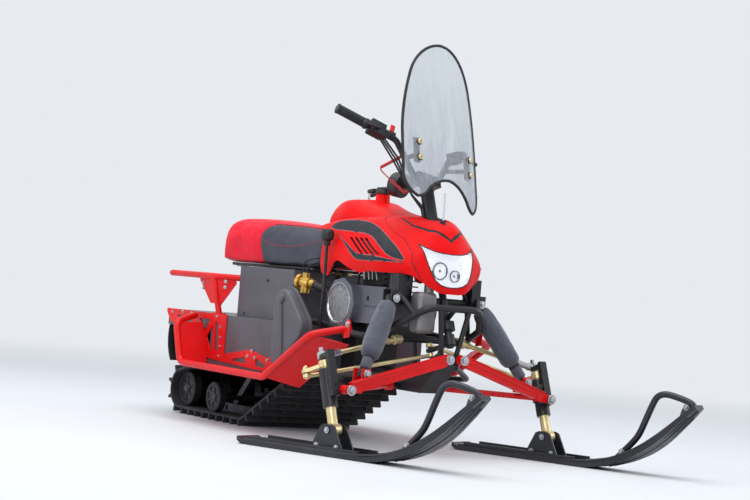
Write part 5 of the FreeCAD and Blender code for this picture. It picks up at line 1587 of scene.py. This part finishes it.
# %% Faces of the wheels
SPOKES = 6
WHEELS = ((-370, 150, 66, 214.3, "rear"), (-110, 138.3, 54, 237.3, "middle"))
for side, tag in SIDES:
    for x, z, radius, y, name in WHEELS:
        centre = at(x, side * y, z)
        outward = Vector((0, side, 0))
        spun("wheel_rim_%s_%s" % (name, tag), ((0, radius - 15), (3.5, radius - 14), (4.5, radius - 10),
                                               (4.0, radius - 2), (2.5, radius + 2), (0, radius + 3)),
             centre, outward, rubber, 40)
        spun("wheel_hub_%s_%s" % (name, tag), ((0, 22), (4, 21), (5.5, 17), (5.5, 14), (4.0, 13), (4.0, 9)),
             centre, outward, black_plastic, 28)
        for i in range(SPOKES):
            turn = math.tau * (i + 0.25) / SPOKES
            a = centre + Vector((math.cos(turn), 0, math.sin(turn))) * 0.019 + outward * 0.0015
            b = centre + Vector((math.cos(turn + 0.18), 0,
                                 math.sin(turn + 0.18))) * (radius - 12) / 1000 + outward * 0.0015
            beam("wheel_spoke_%s_%s_%d" % (name, tag, i), a, b, 8, 4.5, black_plastic, 1.2, up=outward)

# %% [markdown]
# The belt's lugs are one bar each in the CAD. Moulded gussets stand beside every bar on the real belt,
# and they give the tread its broken, blocky look. They are small wedges, set five to a lug on both of its
# sides.

# %% Gussets of the tread
BELT = (((-370.0, 150.0), 78.0), ((110.0, 150.0), 78.0), ((430.0, 335.0), 83.0))


def belt_parts():
    """The belt's outline as straights and arcs: kind, length, two places or a centre and radius, angle."""
    parts = []
    angles = []
    for i, ((cx, cz), r) in enumerate(BELT):
        (nx, nz), n = BELT[(i + 1) % 3]
        reach = math.hypot(nx - cx, nz - cz)
        angles.append(math.atan2(nz - cz, nx - cx) - math.acos((r - n) / reach))
    for i, ((cx, cz), r) in enumerate(BELT):
        (nx, nz), n = BELT[(i + 1) % 3]
        a = angles[i]
        start = (cx + r * math.cos(a), cz + r * math.sin(a))
        stop = (nx + n * math.cos(a), nz + n * math.sin(a))
        parts.append(("line", math.dist(start, stop), start, stop, a))
        sweep = (angles[(i + 1) % 3] - a) % math.tau
        parts.append(("arc", n * sweep, (nx, nz), n, a))
    return parts


def belt_at(distance, parts):
    total = sum(part[1] for part in parts)
    distance %= total
    for kind, length, first, second, angle in parts:
        if distance <= length:
            break
        distance -= length
    if kind == "line":
        share = distance / length
        return first[0] + (second[0] - first[0]) * share, first[1] + (second[1] - first[1]) * share, angle
    turn = angle + distance / second
    return first[0] + second * math.cos(turn), first[1] + second * math.sin(turn), turn


belt = belt_parts()
belt_length = sum(part[1] for part in belt)
tread = bmesh.new()
LUGS, LUG_START = 38, 370
for i in range(LUGS):
    for offset in (-11.5, 11.5):
        x, z, turn = belt_at(LUG_START + i * belt_length / LUGS + offset, belt)
        outward = Vector((math.cos(turn), 0, math.sin(turn)))
        along = Vector((-outward.z, 0, outward.x))
        for j, y in enumerate((-212, -106, 0, 106, 212)):
            block = bmesh.ops.create_cube(tread, size=1.0)["verts"]
            bmesh.ops.scale(tread, verts=block, vec=(0.016, 0.030, 0.013))
            for vert in block:
                if vert.co.z > 0:
                    vert.co.y *= 0.7
                    vert.co.x = vert.co.x * 0.4 - math.copysign(0.004, offset)
            shift = (i % 2) * 26 - 13
            place = Matrix((along, Vector((0, 1, 0)), outward)).transposed().to_4x4()
            place.translation = at(x, y + shift, z) + outward * 0.0060
            bmesh.ops.transform(tread, matrix=place, verts=block)
bmesh.ops.recalc_face_normals(tread, faces=tread.faces)
print("belt length, mm:", round(belt_length), "wedges:", len(tread.faces) // 6)
finish_piece("tread_gussets", tread, track_rubber, split=30)

# %% [markdown]
# The flap behind the track is thick rubber, moulded with upright ribs and clamped by a steel strip.

# %% The snow flap
flap_rows = []
for step, (x, z) in enumerate(arc_through((-490.3, 460), (-532, 350), (-498, 252), 14) + [(-498, 252)]):
    share = step / 14
    row = []
    for i in range(97):
        y = -238 + 476 * i / 96
        ribbed = 0.05 < share < 0.95 and (i % 12) in (5, 6, 7) and 4 < i < 92
        row.append(at(x + (0.0 if ribbed else 3.2), y, z))
    flap_rows.append(row)
flap = finish_piece("flap_rubber", grid_on(flap_rows), rubber, slot="flap_rubber",
                    replaced=("snow_flap",), split=0)
flap_wall = flap.modifiers.new("wall", "SOLIDIFY")
flap_wall.thickness = 0.005
flap_wall.offset = 1.0
beam("flap_strip", at(-496.5, -215, 440), at(-496.5, 215, 440), 3.0, 20, dark_steel, 0.8, up=(0.95, 0, 0.3))

# %% Seat pan and bump stop, fan flange, heat shield
PAN_OUTLINE = ((-206, -150), (405, -150), (405, -22), (362, -22), (362, 22), (405, 22), (405, 150),
               (-206, 150))
pan = prism("seat_pan", [at(x, y, 655.7) for x, y in PAN_OUTLINE], Vector((0, 0, 0.0114)), black_plastic,
            2.5, body="seat")
spun("seat_hinge", ((-34, 0), (-34, 7.5), (-31, 8.5), (31, 8.5), (34, 7.5), (34, 0)), at(380, 0, 654),
     Vector((0, 1, 0)), zinc_gold, 24, body="seat")
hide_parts("seat_base")
beam("seat_stop", at(-214, -112, 660), at(-160, -112, 657), 34, 15, white_plastic, 4.0, body="seat",
     slot="rod_plastic")
spun("fan_flange", ((0, 76), (0, 88), (3, 91), (9, 91), (12, 87), (12, 76)), at(FAN_X, -192, FAN_Z),
     RIGHTWARD, duct_plastic, 9)
beam("duct_catch", at(812, -168, 566), at(812, -168, 582), 8, 6, black_plastic, 1.5, up=(0, 1, 0))
beam("heat_shield", at(620, -64, 660), at(930, -64, 652), 4, 124, engine_black, 1.2)
